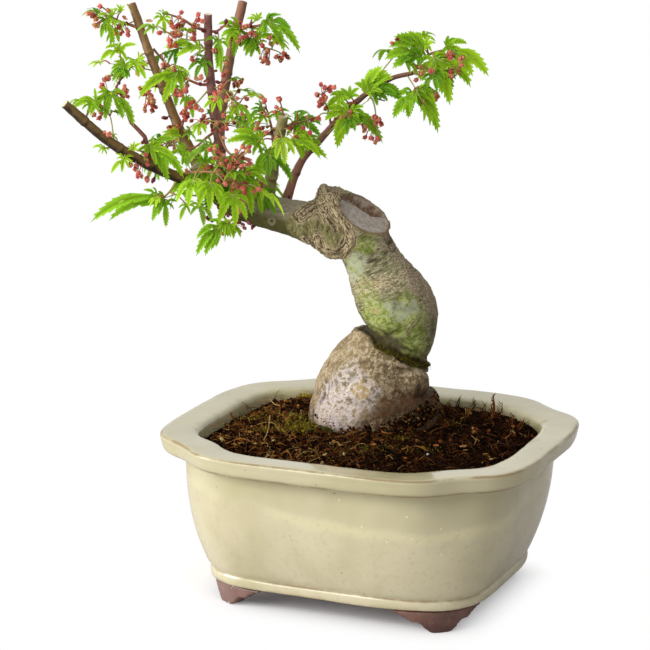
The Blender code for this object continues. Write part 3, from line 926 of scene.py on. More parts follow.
def waves(points, scale, stretch=(1, 1, 1), octaves=1):
    """Noise about 0 for each point, with as many finer layers as asked."""
    scaled = points * np.array(stretch) * scale
    total = np.zeros(len(points))
    for octave in range(octaves):
        total += np.array([noise.noise(p) for p in scaled * 2 ** octave]) / 2 ** octave
    return total


def ridges(points, scale, stretch=(1, 1, 1), seed=0.0):
    """Sharp ridges, 0 in the furrows to 1 on the crests."""
    return 1 - np.abs(np.array([noise.noise(p) for p in points * np.array(stretch) * scale + seed])) * 2.4


def patch(spots, wave, sway, inner, outer):
    """A mask that is 1 near some spots and 0 far from them, with a wavy edge."""
    return 1 - ease(far_from(points, spots) + waves(points, wave) * sway, inner, outer)


def patches(rows, wave, sway):
    """A mask of round patches with wavy edges, from rows of a pixel and a radius in millimetres."""
    edge = waves(points, wave) * sway
    gaps = [(far_from(points, [on_bark(x, y)]) + edge, radius) for x, y, radius in rows]
    return np.max([1 - ease(gap, radius * 0.6, radius) for gap, radius in gaps], axis=0)


points = array_of(trunk.data, "co") / MM
normals = array_of(trunk.data, "normal")

# Where each point is along the trunk, and which way it faces round it
centre_line = smooth_rows(TRUNK, 60)
trunk_gap = np.stack([np.linalg.norm(points - row[:3], axis=1) - row[3] for row in centre_line])
nearest = trunk_gap.argmin(axis=0)
along = nearest * (np.linalg.norm(centre_line[1, :3] - centre_line[0, :3]))
away = points - centre_line[nearest, :3]
turn = np.arctan2(away[:, 1], away[:, 0] + 0.6 * away[:, 2])
around = np.stack([np.cos(turn) * 2.2, np.sin(turn) * 2.2, along], axis=1)
on_bough = ease(-points[:, 0] + 0.35 * (points[:, 2] - 149), 26, 33)
off_bough = 1 - on_bough

# The crease at the waist parts the foot from the stem
crease_spot = on_bark(*CREASE_POINT)
wobble = waves(points, 0.12) * 2.4 + waves(points, 0.4) * 0.8
above_crease = points[:, 2] - crease_spot.z + CREASE_SLOPE * (points[:, 0] - crease_spot.x) + wobble
crease = hill(above_crease, 0.0, 1.5) * off_bough
foot_mask = ease(-above_crease, 0.0, 2.5)
stem_mask = ease(above_crease, 0.5, 3.0) * off_bough

# The old cut: how far a point lies above it, along it and across it, and where its crack runs
from_cut = points - np.array(PRUNED_FACE)
plane_up = from_cut @ np.array(PRUNED_NORMAL)
cut_long = from_cut @ np.array(CUT_LONG)
cut_deep = from_cut @ np.array(CUT_DEEP)
cut_reach = np.sqrt((cut_long / (CUT_HALF_LONG - 0.7)) ** 2 + (cut_deep / (CUT_HALF_DEEP - 0.7)) ** 2)
cut_reach = cut_reach + waves(points, 0.25) * 0.03
on_cut = ease(plane_up, -2.2, -1.0) * (1 - ease(cut_reach, 0.96, 1.02))
lip = hill(cut_reach, 1.03, 0.06) * ease(plane_up, -3.0, -1.6)
behind_crack = cut_deep - np.interp(cut_long, *zip(*CRACK))
hollow = ease(behind_crack, 0.0, 2.0)

# The fold beside the cut: strands of old bark, the straw between them and the collar below
fold_way = np.array(Vector((0.46, 0.0, -0.89)).normalized())
fold_side = np.array((0.89, 0.0, 0.46))
folded = np.stack([points @ fold_side, points[:, 1], (points @ fold_way) * 0.18], axis=1)
strand_gap = np.min([far_from(points, line_of(pixels)) - width for width, *pixels in STRANDS], axis=0)
strand = 1 - ease(strand_gap + waves(points, 0.6) * 0.5, -0.6, 0.5)
straw = 1 - ease(strand_gap + waves(points, 0.45) * 1.6, 0.3, 1.8)
past_peak = ease(-points[:, 0] + 0.2 * (points[:, 2] - 150), 15.0, 18.0)
past_peak = past_peak * ease(points[:, 2], 152, 155) * off_bough
straw = np.maximum(straw, past_peak) * (1 - on_cut)
ring = 0.5 - 0.5 * np.cos((strand_gap + waves(points, 0.5) * 0.5) * 2 * math.pi / RING_GAP)
flakes = ridges(folded, 0.75, (1, 1, 1), 11.0) * 0.6 + ridges(folded, 1.6, (1, 1, 1), 5.0) * 0.4
collar = patch(spots_at(COLLAR_SPOTS), 0.3, 1, 5.5, 8.0)

streak = patch(line_of(STREAK_PATH), 0.25, 3, 5.0, 9.0)
green = patches(GREEN_SPOTS, 0.2, 4)
wart = 1 - ease(far_from(points, line_of(WART_PATH)), 0.5, 1.8)
knot_gap = far_from(points, spots_at([KNOT]))
bough_knot = far_from(points, spots_at(BOUGH_KNOTS)) + waves(points, 0.8) * 0.7
rough_stem = stem_mask * (1 - green * 0.8) * (1 - collar)

# Heights in millimetres, one kind of relief a line
height = waves(points, 0.075, octaves=2) * 0.65
height += waves(points, 0.35, octaves=2) * 0.16
height -= crease * 2.3
height -= hill(above_crease, 4.5, 0.8) * 0.5 * off_bough
height += hill(above_crease, -3.2, 1.6) * 0.7 * off_bough
height += (ridges(around, 0.62) - 0.6) * 0.34 * rough_stem * ease(along, 46, 62)
height += ridges(around, 1.5, (1, 1, 0.9), 7.0) * 0.13 * rough_stem
height += waves(points, 1.1, (0.6, 0.6, 1.6), 2) * 0.16 * foot_mask
height += ridges(points, 0.33, (1, 1, 0.55), 3.0) * 0.3 * foot_mask
height += (flakes - 0.35) * 0.45 * straw + strand * 0.35 * (1 - on_cut) + (0.5 - ring) * 0.42 * straw
height += lip * 0.5
height += (flakes - 0.4) * 0.3 * streak
height += ridges(points, 0.5, (1.0, 1.0, 0.3), 9.0) * 0.35 * collar * (1 - straw)
height += ridges(points, 0.9, (0.35, 1.6, 1.6), 2.0) * 0.16 * on_bough
height += hill(knot_gap, 1.5, 0.5) * 0.4 - hill(knot_gap, 0.0, 0.9) * 0.5
height += hill(bough_knot, 1.2, 0.5) * 0.4 - hill(bough_knot, 0.0, 0.6) * 0.6
height += wart * (0.15 + ridges(points, 1.4) * 0.45)
height *= 1 - on_cut
rows = points + normals * height[:, None]

# The face of the cut is dished, and sinks behind its crack
dish = 0.5 * (1 - hollow) * (1 - np.clip(cut_reach, 0, 1) ** 4)
dish = dish - 1.9 * hill(behind_crack, 0.5, 0.9)
dish -= hollow * 2.2 * (1 - np.clip(cut_reach, 0, 1) ** 3)
dish += waves(points, 0.3, octaves=2) * 0.4 * (0.3 + hollow) + ridges(points, 0.7, seed=4.0) * 0.25 * hollow
rows += np.array(PRUNED_NORMAL) * (dish * on_cut)[:, None]

masks = {
    "foot": foot_mask,
    "crease": crease * 1.2 + hill(above_crease, 2.5, 2.5) * 0.7 * off_bough,
    "green": green,
    "pale": patches(PALE_SPOTS, 0.35, 2),
    "tan": patches(TAN_SCARS, 0.5, 2),
    "straw": straw,
    "collar": collar,
    "lip": lip * (1 - on_cut * 0.6),
    "lit_foot": patch(spots_at(LIT_FOOT), 0.15, 4, 7.0, 15.0),
    # How much the skin faces up, for the painted light on the main bough's upper side
    "top": ease(normals[:, 2], -0.5, 0.6),
    "shade": ease(normals[:, 0], 0.35, 0.9) * stem_mask,
    "band": patch(line_of(BAND_PATH), 0.3, 2.5, 2.5, 6.0),
    "ring": ring * straw,
    "knot": hill(bough_knot, 1.1, 0.5),
    "streak": np.maximum(streak, wart * 0.55),
    "bough": on_bough,
    "cut": on_cut,
    "hollow": on_cut * hollow,
    "crust": patch(line_of(CRUST_PATH), 0.4, 3, 2.0, 6.0),
    # Painted shade: darker where the relief sinks, and along the crack of the cut
    "furrow_shade": np.clip(0.5 - height * 0.9, 0, 1) * (1 - on_cut) + on_cut * hill(behind_crack, 0.0, 0.8),
}
trunk.data.vertices.foreach_set("co", (rows * MM).ravel())
for name, mask in masks.items():
    note(trunk.data, "is_" + name, np.clip(mask, 0, 1))
trunk.data.transform(tree_frame)
trunk.data.update()
print("relief from", round(float(height.min()), 2), "to", round(float(height.max()), 2), "mm")

# %% [markdown]
# Old bark is grey and lilac with brown freckles on the foot, moss green in the crease, olive on the bulge,
# straw and flaky round the fold, and the healed wood of the cut is smooth and grey with a brown hollow
# behind its crack. Shade and light are painted in too: the stem is darker on its right side, the crease goes
# near black at its left end, the furrows and the crack are darker, and the main bough is lighter on top.

# %% Old bark
def old_bark_finish():
    bark = Finish("old_bark", (0.35, 0.3, 0.22), 0.75)
    step = bark.step
    spot = bark.tree_place()

    def mask(name):
        return bark.noted("is_" + name)

    broad = bark.grain(spot, 0.16, 4.0, 0.6)
    middling = bark.grain(spot, 0.55, 5.0, 0.65)
    fine = bark.grain(spot, 2.2, 4.0, 0.6)
    flecks = bark.grain(bark.lean(spot, -22.0, (0.34, 0.6, 1.7)), 1.0, 4.0, 0.6, 0.3)
    dashes = bark.grain(bark.lean(spot, -22.0, (0.9, 1.2, 4.2)), 1.0, 2.0, 0.5)
    folds = bark.grain(bark.lean(spot, -28.0, (2.6, 2.6, 0.4)), 1.0, 3.0, 0.6, 0.3)
    layers = bark.grain(bark.lean(spot, 30.0, (2.4, 2.4, 0.42)), 1.0, 4.0, 0.62, 0.3)
    low = bark.axis(spot, "Z") + middling * 24.0 - 12.0 - bark.axis(spot, "X") * 0.25
    rightwards = bark.axis(spot, "X") + middling * 14.0 - 7.0

    lit = mask("lit_foot")
    freckle = step(bark.cells(bark.stretch(spot, (0.9, 0.9, 1.4)), 0.7), 0.4, 0.2)
    freckle = freckle * step(middling, 0.40, 0.52)
    crust = bark.coats(
        bark.mix((0.04, 0.019, 0.008), (0.19, 0.11, 0.055), step(middling, 0.45, 0.62)),
        ((0.30, 0.22, 0.15), step(fine, 0.60, 0.68)))
    dirt = step(low, 86.0, 72.0) * (1 - lit * 0.75)
    olive = step(low, 84.0, 96.0) * step(middling, 0.46, 0.6)
    scabs = step(middling, 0.46, 0.56) + step(layers, 0.5, 0.6) * 0.6
    foot = bark.coats(
        bark.mix((0.21, 0.135, 0.06), (0.43, 0.32, 0.19), step(broad, 0.38, 0.58)),
        ((0.48, 0.41, 0.31), step(middling, 0.5, 0.36) * 0.6),
        ((0.64, 0.56, 0.52), lit * step(middling, 0.62, 0.42)),
        ((0.44, 0.38, 0.40), lit * step(broad, 0.5, 0.6) * 0.7),
        ((0.13, 0.10, 0.085), step(low, 76.0, 71.0) * step(middling, 0.42, 0.56) * lit * 0.8),
        ((0.25, 0.23, 0.25), step(middling, 0.54, 0.7) * lit * 0.7),
        ((0.13, 0.08, 0.04), step(layers, 0.53, 0.62) * 0.7 * (1 - lit * 0.5)),
        ((0.62, 0.53, 0.40), step(layers, 0.44, 0.37) * 0.5),
        ((0.13, 0.07, 0.03), freckle * 0.6),
        ((0.07, 0.04, 0.018), step(fine, 0.55, 0.65) * step(broad, 0.62, 0.42) * 0.75),
        ((0.68, 0.58, 0.44), step(fine, 0.42, 0.34) * 0.5),
        (crust, dirt * step(middling + fine * 0.6, 0.99, 0.80) * 0.95),
        ((0.20, 0.17, 0.07), olive * 0.7),
        ((0.12, 0.085, 0.035), step(rightwards, -12.0, 6.0) * scabs * 0.72))

    bare = 1 - mask("green") * 0.85
    green = bark.coats(
        bark.mix((0.145, 0.195, 0.022), (0.34, 0.375, 0.11), step(middling, 0.42, 0.60)),
        ((0.50, 0.46, 0.31), step(flecks, 0.555, 0.59) * 0.55))
    band = bark.mix((0.58, 0.48, 0.32), (0.13, 0.095, 0.04), step(dashes, 0.5, 0.58))
    streaks = bark.mix((0.43, 0.34, 0.24), (0.12, 0.075, 0.04), step(dashes, 0.46, 0.58))
    stem = bark.coats(
        bark.mix((0.10, 0.112, 0.038), (0.26, 0.248, 0.13), step(broad, 0.36, 0.6)),
        ((0.37, 0.31, 0.195), step(middling, 0.5, 0.62) * 0.6),
        (green, mask("green")),
        ((0.52, 0.44, 0.29), step(flecks, 0.545, 0.58) * 0.8 * bare),
        ((0.06, 0.05, 0.02), step(dashes, 0.56, 0.61) * step(broad, 0.40, 0.55) * 0.85 * bare),
        ((0.17, 0.16, 0.06), mask("shade") * 0.3),
        (band, mask("band") * step(flecks, 0.44, 0.52) * 0.85),
        (streaks, mask("streak") * 0.75),
        ((0.43, 0.45, 0.31), mask("pale") * step(fine, 0.62, 0.5) * 0.85),
        ((0.07, 0.055, 0.025), step(fine, 0.6, 0.7) * 0.45))

    along_bough = bark.grain(bark.stretch(spot, (0.3, 1.6, 1.6)), 1.0, 4.0, 0.6, 0.4)
    # Painted light: the main bough is painted lighter on its upper side and darker beneath, as painted shade
    bough = bark.coats(
        bark.mix((0.10, 0.095, 0.03), (0.34, 0.29, 0.21), step(mask("top") + broad - 0.5, 0.1, 0.9)),
        ((0.09, 0.06, 0.03), step(along_bough, 0.52, 0.7) * 0.6))
    collar = bark.mix((0.27, 0.26, 0.11), (0.12, 0.075, 0.03), step(folds, 0.46, 0.6))
    moss = bark.mix((0.05, 0.04, 0.015), (0.20, 0.19, 0.05), middling)
    # Painted shadow: towards its left end the crease moss goes near black
    moss = bark.mix((0.022, 0.022, 0.02), moss, step(rightwards, -9.0, 3.0))
    straw = bark.coats(
        bark.mix((0.15, 0.10, 0.045), (0.62, 0.50, 0.31), step(folds, 0.38, 0.54)),
        ((0.045, 0.028, 0.013), step(mask("ring"), 0.5, 0.9) * 0.9))
    open_wood = bark.mix((0.13, 0.07, 0.035), (0.31, 0.24, 0.19), step(broad + middling, 0.85, 1.15))
    healed = bark.coats(
        bark.mix((0.27, 0.225, 0.185), (0.40, 0.35, 0.30), step(middling, 0.35, 0.65)),
        (open_wood, mask("hollow")),
        # Painted shade along the crack
        ((0.06, 0.03, 0.015), step(mask("furrow_shade"), 0.35, 0.9) * 0.9))
    colour = bark.coats(
        bark.mix(stem, foot, mask("foot")),
        (bough, mask("bough")),
        ((0.40, 0.34, 0.22), mask("knot") * 0.6),
        (collar, mask("collar")),
        # Moss in the crease, partly painted shade
        (moss, mask("crease") * step(fine, 0.25, 0.5)),
        (straw, mask("straw") * 0.95),
        ((0.47, 0.33, 0.15), mask("tan") * step(middling, 0.35, 0.55) * 0.75),
        ((0.09, 0.035, 0.014), mask("crust") * step(middling, 0.42, 0.55) * 0.9),
        # Painted shade in the furrows of the relief
        ((0.04, 0.025, 0.012), step(mask("furrow_shade"), 0.55, 1.0) * 0.8),
        (healed, mask("cut")),
        ((0.20, 0.13, 0.065), mask("lip") * 0.85))
    rough = 0.86 - mask("green") * 0.25 - mask("cut") * 0.15
    bark.set(**{"Base Color": colour, "Roughness": rough, "Specular IOR Level": 0.22})
    relief = middling * 0.5 + fine * 0.6 + (flecks * 0.7 - dashes * 0.2) * bare + folds * mask("straw")
    bark.raise_surface(relief * (1 - mask("cut") * 0.7), 0.6, 0.85)
    return bark


trunk.data.materials.clear()
trunk.data.materials.append(old_bark_finish().material)
trunk.data.polygons.foreach_set("material_index", [0] * len(trunk.data.polygons))
hand_in(trunk, "old_bark", "trunk", "bough_main")

# %% [markdown]
# ## The soil
# The soil is a bed of dark, loose fibre. A lumpy sheet gives its level: high round the trunk, low in the
# corners, so that the stained inner wall shows there. Thousands of crumbs, fibres, chips and moss leaves
# then lie on the sheet, each kind gathered in a heap of its own.

# %% Soil bed
BED_RINGS = 46
BED_INSET = 15.4
BED_EDGE = 63.0
BED_TOP = 66.6
BED_DEPTH = 6
BED_BACK_RISE = 1.6
# Lumps of the bed: the slice of the noise, its scale and its height
BED_LUMPS = ((0, 0.09, 1.3), (9, 0.32, 0.7))


def bed_level(x, y):
    """Height of the soil, in millimetres, at a place of the pot."""
    share = max(abs(x) / (HALF_LENGTH - BED_INSET), abs(y) / (HALF_WIDTH - BED_INSET))
    mound = BED_EDGE + (BED_TOP - BED_EDGE) * (1 - min(share, 1.0) ** 3)
    behind = BED_BACK_RISE * min(max((y + 5) / 45, 0.0), 1.0) * (1 - min(max(abs(x) - 30, 0.0) / 40, 1.0))
    lumps = sum(noise.noise(Vector((x, y, slice_at)) * scale) * rise for slice_at, scale, rise in BED_LUMPS)
    return mound + behind + lumps * (1.1 - 0.6 * min(share, 1.0))


def pot_to_tree(x, y, z):
    """A place in the pot's own millimetres as a point of the tree's frame."""
    return into_tree @ (pot_middle + Vector((x, y, z)) * MM) / MM


def build_bed(soil):
    """The sheet of soil inside the pot's plan, and the outline of that sheet."""
    plan = pot_plan("soil_bed")
    outline = [v.co.copy() / MM for v in plan.data.vertices]
    order = [0]
    links = {}
    for edge in plan.data.edges:
        a, b = edge.vertices
        links.setdefault(a, []).append(b)
        links.setdefault(b, []).append(a)
    while len(order) < len(outline):
        order.append(next(n for n in links[order[-1]] if n not in order[-2:]))
    bpy.data.objects.remove(plan)
    squeeze = ((HALF_LENGTH - BED_INSET) / HALF_LENGTH, (HALF_WIDTH - BED_INSET) / HALF_WIDTH)
    ring = [(outline[i].x * squeeze[0], outline[i].y * squeeze[1]) for i in order]
    sides = len(ring)
    points = [Vector((x, y, BED_EDGE - BED_DEPTH)) for x, y in ring]
    for k in range(BED_RINGS):
        share = 1 - k / BED_RINGS
        for x, y in ring:
            points.append(Vector((x * share, y * share, bed_level(x * share, y * share))))
    points.append(Vector((0, 0, bed_level(0, 0))))
    faces = tube_faces(BED_RINGS + 1, sides, closed=False)
    last = BED_RINGS * sides
    faces += [(last + i, last + (i + 1) % sides, last + sides) for i in range(sides)]
    faces.append(tuple(reversed(range(sides))))
    made = piece_from("soil_bed", [pot_middle + p * MM for p in points], faces, [soil])
    return made, ring


def soil_finish():
    soil = Finish("dark_soil", (0.02, 0.012, 0.008), 0.9)
    spot = soil.tree_place()
    clumps = soil.grain(spot, 0.35, 5.0, 0.7)
    fine = soil.grain(spot, 1.6, 4.0, 0.7)
    colour = soil.coats(
        soil.mix((0.003, 0.002, 0.0015), (0.03, 0.010, 0.004), soil.step(fine, 0.42, 0.68)),
        ((0.06, 0.02, 0.007), soil.step(clumps, 0.55, 0.75) * 0.6))
    soil.set(**{"Base Color": colour, "Roughness": 0.7 + fine * 0.3, "Specular IOR Level": 0.0})
    soil.raise_surface(fine * 0.6 + clumps * 0.6, 1.2, 1.0)
    return soil


def plain_finish(name, colour, roughness, scale=1.5, depth_mm=0.15, gloss=0.5):
    """One plain colour with a fine tooth, for small things that lie about."""
    plain = Finish(name, colour, roughness)
    grain = plain.grain(plain.tree_place(), scale, 3.0, 0.6)
    plain.set(**{"Roughness": roughness - 0.12 + grain * 0.24, "Specular IOR Level": gloss})
    plain.raise_surface(grain, depth_mm, 0.6)
    return plain


def plain_finishes(name, colours, *settings, **named):
    """One plain finish for each colour, all with the same settings."""
    return [plain_finish(name + "_%d" % k, colour, *settings, **named) for k, colour in enumerate(colours)]


soil_bed, bed_ring = build_bed(soil_finish())
hand_in(soil_bed, "soil", "soil")

# %% [markdown]
# Crumbs are small broken lumps with twenty faces. Fibres are thin bent straws of root. Both are thrown at
# random on the bed, thicker where the bed dips.

# %% Crumbs and fibres
CRUMB_COLOURS = (
    (0.004, 0.002, 0.001), (0.012, 0.004, 0.0015), (0.042, 0.012, 0.003), (0.12, 0.036, 0.008),
    (0.26, 0.12, 0.03), (0.42, 0.30, 0.13))
CRUMB_SHARES = (50, 19, 13, 10, 6, 2)
FIBRE_COLOURS = ((0.025, 0.008, 0.002), (0.11, 0.034, 0.007), (0.27, 0.115, 0.025), (0.44, 0.29, 0.10))
FIBRE_SHARES = (36, 38, 20, 6)
CRUMBS = 5400
CLODS = 220
# The line where the foot meets the soil: its left end, its length and how far it sags, in pixels
FOOT_LINE_PIXEL = (314, 411)
FOOT_LINE_LONG = 128
FOOT_LINE_SAG = 24
FOOT_CRUMBS = 1700
FIBRES = 4600
# The same shares for the darker right half of the pot, and for the soil against the trunk's foot
RIGHT_CRUMB_SHARES = (84, 10, 4, 2, 0, 0)
RIGHT_FIBRE_SHARES = (84, 14, 2, 0)
CLOD_SHARES = (50, 30, 15, 5, 0, 0)
FOOT_CRUMB_SHARES = (30, 30, 20, 12, 6, 2)
GOLD = (1 + 5 ** 0.5) / 2
LUMP_POINTS = [
    Vector(p).normalized() for p in (
        (-1, GOLD, 0), (1, GOLD, 0), (-1, -GOLD, 0), (1, -GOLD, 0), (0, -1, GOLD), (0, 1, GOLD),
        (0, -1, -GOLD), (0, 1, -GOLD), (GOLD, 0, -1), (GOLD, 0, 1), (-GOLD, 0, -1), (-GOLD, 0, 1))]
LUMP_FACES = (
    (0, 11, 5), (0, 5, 1), (0, 1, 7), (0, 7, 10), (0, 10, 11), (1, 5, 9), (5, 11, 4), (11, 10, 2),
    (10, 7, 6), (7, 1, 8), (3, 9, 4), (3, 4, 2), (3, 2, 6), (3, 6, 8), (3, 8, 9), (4, 9, 5), (2, 4, 11),
    (6, 2, 10), (8, 6, 7), (9, 8, 1))


rand = random.Random(7)


def pick(shares):
    """A number from 0 on, drawn at random by the shares."""
    return rand.choices(range(len(shares)), shares)[0]


def turned():
    """A rotation at random."""
    axis = Vector((rand.gauss(0, 1), rand.gauss(0, 1), rand.gauss(0, 1))).normalized()
    return Matrix.Rotation(rand.uniform(0, 2 * math.pi), 3, axis)


def crumb(spot, size, slot, flat=1.0):
    """One broken lump."""
    turn = turned()
    sides = (size, size * rand.uniform(0.5, 1.0), size * rand.uniform(0.35, 0.8) * flat)
    turn = turn @ Matrix.Diagonal(sides)
    crumbs.add([spot + turn @ (p * rand.uniform(0.7, 1.2)) for p in LUMP_POINTS], LUMP_FACES, slot)


def on_bed(margin):
    """A place on the bed, in the pot's own millimetres, with more of them towards the rim."""
    x, y = bed_ring[rand.randrange(len(bed_ring))]
    share = math.sqrt(rand.random()) * margin
    return x * share, y * share


def bed_level_at(spot):
    """Height of the soil at a point of the tree's frame."""
    placed = tree_frame @ (spot * MM) - pot_middle
    return bed_level(placed.x / MM, placed.y / MM)


def bed_at(x_pixel, y_pixel):
    """The point of the soil that shows at a pixel, in the tree's frame."""
    ray = (seen(x_pixel, y_pixel, 0.0) - eye).normalized()
    level = BED_TOP
    for _ in range(4):
        spot = eye + ray * ((level - eye.z) / ray.z)
        level = bed_level_at(spot)
    return spot


def mixed(shares, dark_shares, x):
    """The shares for a place x of the pot: the right half is darker."""
    return dark_shares if rand.random() < min(max(0.35 + x / 60, 0.0), 0.85) else shares


crumbs = Heap()
for _ in range(FOOT_CRUMBS):
    share = rand.random() ** 0.6
    line = FOOT_LINE_PIXEL[1] + FOOT_LINE_SAG * math.sin(math.pi * min(share * 1.05, 1.0)) ** 0.7
    x = FOOT_LINE_PIXEL[0] + FOOT_LINE_LONG * share
    y = line + 2 - rand.random() ** 2.6 * (2 + 22 * share)
    spot = guide_net.find_nearest(on_bark(x, y))[0]
    crumb(spot, rand.uniform(0.25, 0.85), pick(FOOT_CRUMB_SHARES))

for _ in range(CRUMBS):
    x, y = on_bed(0.985)
    size = rand.choice((0.25, 0.35, 0.5, 0.7, 0.9, 1.3))
    spot = pot_to_tree(x, y, bed_level(x, y) + size * 0.25)
    crumb(spot, size, pick(mixed(CRUMB_SHARES, RIGHT_CRUMB_SHARES, x)))

for _ in range(CLODS):
    x, y = on_bed(0.95)
    size = rand.uniform(1.2, 2.3)
    spot = pot_to_tree(x, y, bed_level(x, y) + size * rand.uniform(-0.1, 0.35))
    crumb(spot, size, pick(CLOD_SHARES), 0.8)

fibres = Heap()
for _ in range(FIBRES):
    x, y = on_bed(0.96)
    length = rand.choice((1.5, 2.5, 3.5, 5.0, 7.0))
    aim = Vector((rand.gauss(0, 1), rand.gauss(0, 1), rand.gauss(0.15, 0.35))).normalized() * length
    start = pot_to_tree(x, y, bed_level(x, y) + rand.uniform(-0.3, 0.8))
    sag = Vector((rand.gauss(0, 0.25), rand.gauss(0, 0.25), rand.uniform(-0.05, 0.3))) * length
    width = rand.choice((0.1, 0.14, 0.2, 0.34))
    slot = pick(mixed(FIBRE_SHARES, RIGHT_FIBRE_SHARES, x))
    fibres.stalk(arc(start, start + aim, sag, 4), width, width * 0.6, slot, 4)

crumb_finishes = plain_finishes("crumb", CRUMB_COLOURS, 0.9, 2.5, 0.3, gloss=0.02)
fibre_finishes = plain_finishes("fibre", FIBRE_COLOURS, 0.8, 2.5, 0.1, gloss=0.06)
hand_in(crumbs.make("soil_crumbs", crumb_finishes, False), "soil")
hand_in(fibres.make("soil_fibres", fibre_finishes), "soil")

# %% [markdown]
# A few things on the soil can be told apart, and lie where they show: rootlets, straws, upright sprigs,
# bark chips, a white pebble and tufts of moss in yellow and dark green on the left.

# %% Moss, chips and straws
MOSS_COLOURS = ((0.17, 0.16, 0.010), (0.36, 0.28, 0.018), (0.045, 0.06, 0.010), (0.10, 0.052, 0.010))
CREASE_MOSS = 420
CREASE_START = (372, 347)
CREASE_RUN = (55, 20)
MOSS_TUFTS = (
    # pixel, spread in millimetres, leaves, shares of the four colours
    ((301, 430), (8.5, 6.5), 330, (5, 3, 2, 4)),
    ((324, 431), (5.5, 3.0), 240, (1, 0, 7, 2)),
    ((306, 398), (3.0, 2.6), 110, (2, 7, 1, 1)),
    ((293, 418), (4.0, 3.0), 120, (4, 2, 2, 3)),
    ((262, 432), (6.0, 4.0), 120, (3, 1, 1, 6)),
    ((400, 440), (7.0, 3.0), 90, (1, 1, 2, 7)),
    ((446, 424), (8.0, 5.0), 90, (1, 1, 2, 7)),
    ((312, 426), (15.0, 11.0), 760, (3, 2, 3, 5)),
    ((372, 452), (30.0, 7.0), 320, (1, 1, 2, 8)),
    ((256, 418), (13.0, 9.0), 240, (1, 2, 1, 8)),
)
STRAWS = (
    # pixels along it, width, lift above the soil, colour
    (((268.4, 395), (270, 402), (275, 408), (281, 409)), 0.6, 1.5, 3),
    (((270, 418), (268, 433), (264, 442)), 0.6, 1.0, 3),
    (((375, 425.6), (382, 434), (392, 436)), 0.8, 1.0, 2),
    (((440.5, 410), (449, 428)), 0.6, 1.0, 2),
    (((464, 400), (465, 408), (466, 415.5)), 0.6, 1.2, 3),
    (((434, 402), (445, 400)), 0.5, 1.5, 1),
    (((226, 446), (240, 441), (252, 444)), 0.5, 1.0, 2),
    (((402, 452), (417, 449), (428, 454)), 0.6, 1.2, 2),
    (((350, 452), (360, 446), (366, 447)), 0.5, 1.0, 3),
    (((505, 441), (515, 434), (522, 437)), 0.5, 1.0, 2),
)
SPRIGS = (
    # foot pixel, tip pixel, width at the foot, colour
    ((491, 419), (493, 394), 1.9, 1),
    ((264, 396), (271, 384), 1.0, 0),
    ((262, 397), (262, 387), 0.8, 1),
    ((267, 397), (277, 391), 0.8, 0),
    ((497, 418), (502, 402), 0.9, 1),
    ((236, 424), (230, 414), 0.7, 1),
    ((447, 414), (450, 403), 0.9, 1),
    ((455, 409), (459, 398), 0.9, 0),
    ((470, 410), (475, 400), 0.9, 1),
    ((481, 415), (485, 404), 0.9, 1),
    ((507, 426), (514, 415), 1.0, 1),
    ((515, 431), (524, 421), 1.0, 1),
    ((503, 433), (511, 424), 0.9, 0),
    ((462, 418), (470, 411), 0.8, 2),
)
CHIPS = (
    # pixel, size, colour
    ((251, 434), (1.5, 0.8), 0), ((382, 442), (1.2, 0.8), 0), ((374, 446), (1.0, 0.7), 0),
    ((228, 421), (1.6, 1.0), 1), ((392, 426), (2.6, 1.0), 2), ((463, 448), (1.8, 1.1), 2),
    ((485, 456), (1.7, 1.0), 0), ((491, 461), (1.0, 0.7), 2), ((320, 400), (1.1, 1.0), 1),
    ((428, 456), (0.8, 0.6), 3), ((423, 413), (0.9, 0.7), 1), ((436, 447), (1.4, 0.8), 0),
    ((341, 447), (1.3, 0.8), 2), ((512, 428), (1.3, 0.8), 0), ((247, 409), (1.1, 0.7), 2),
    ((473, 430), (1.2, 0.8), 2), ((405, 460), (1.2, 0.7), 0), ((298, 452), (1.2, 0.7), 2))
CHIP_COLOURS = ((0.34, 0.12, 0.03), (0.25, 0.22, 0.17), (0.32, 0.18, 0.07), (0.78, 0.74, 0.66))

moss = Heap()
for (x, y), spread, count, shares in MOSS_TUFTS:
    middle = bed_at(x, y)
    for _ in range(count):
        spot = middle + Vector((rand.gauss(0, 0.5) * spread[0], rand.gauss(0, 0.5) * spread[1], 0))
        spot.z = bed_level_at(spot) + rand.uniform(-0.2, 0.6)
        lean = Vector((rand.gauss(0, 0.5), rand.gauss(0, 0.5), rand.uniform(0.5, 1.2)))
        tip = spot + lean * rand.uniform(0.7, 1.8)
        moss.stalk([spot, spot.lerp(tip, 0.5) + Vector((0, 0, 0.15)), tip], 0.5, 0.1, pick(shares), 3)
fibre_slot = len(MOSS_COLOURS)
for pixels, width, lift, colour in STRAWS:
    route = [bed_at(x, y) + Vector((0, 0, lift)) for x, y in pixels]
    rows = smooth_rows([(*p, width) for p in route], 9)
    moss.stalk([Vector(row[:3]) for row in rows], width, width * 0.5, fibre_slot + colour, 6)
for foot_pixel, tip_pixel, width, colour in SPRIGS:
    start = bed_at(*foot_pixel)
    tip = seen(*tip_pixel, start.y)
    moss.stalk(arc(start - Vector((0, 0, 1)), tip, (0.8, 0, 0)), width, 0.25, fibre_slot + colour, 6)
    for k in range(5):
        spot = start.lerp(tip, 0.25 + 0.15 * k)
        side = Vector((rand.uniform(-1, 1), rand.uniform(-1, 1), 1.2)) * 1.6
        moss.stalk(arc(spot, spot + side, (0, 0, 0.2), 3), width * 0.4, 0.15, fibre_slot + colour, 5)
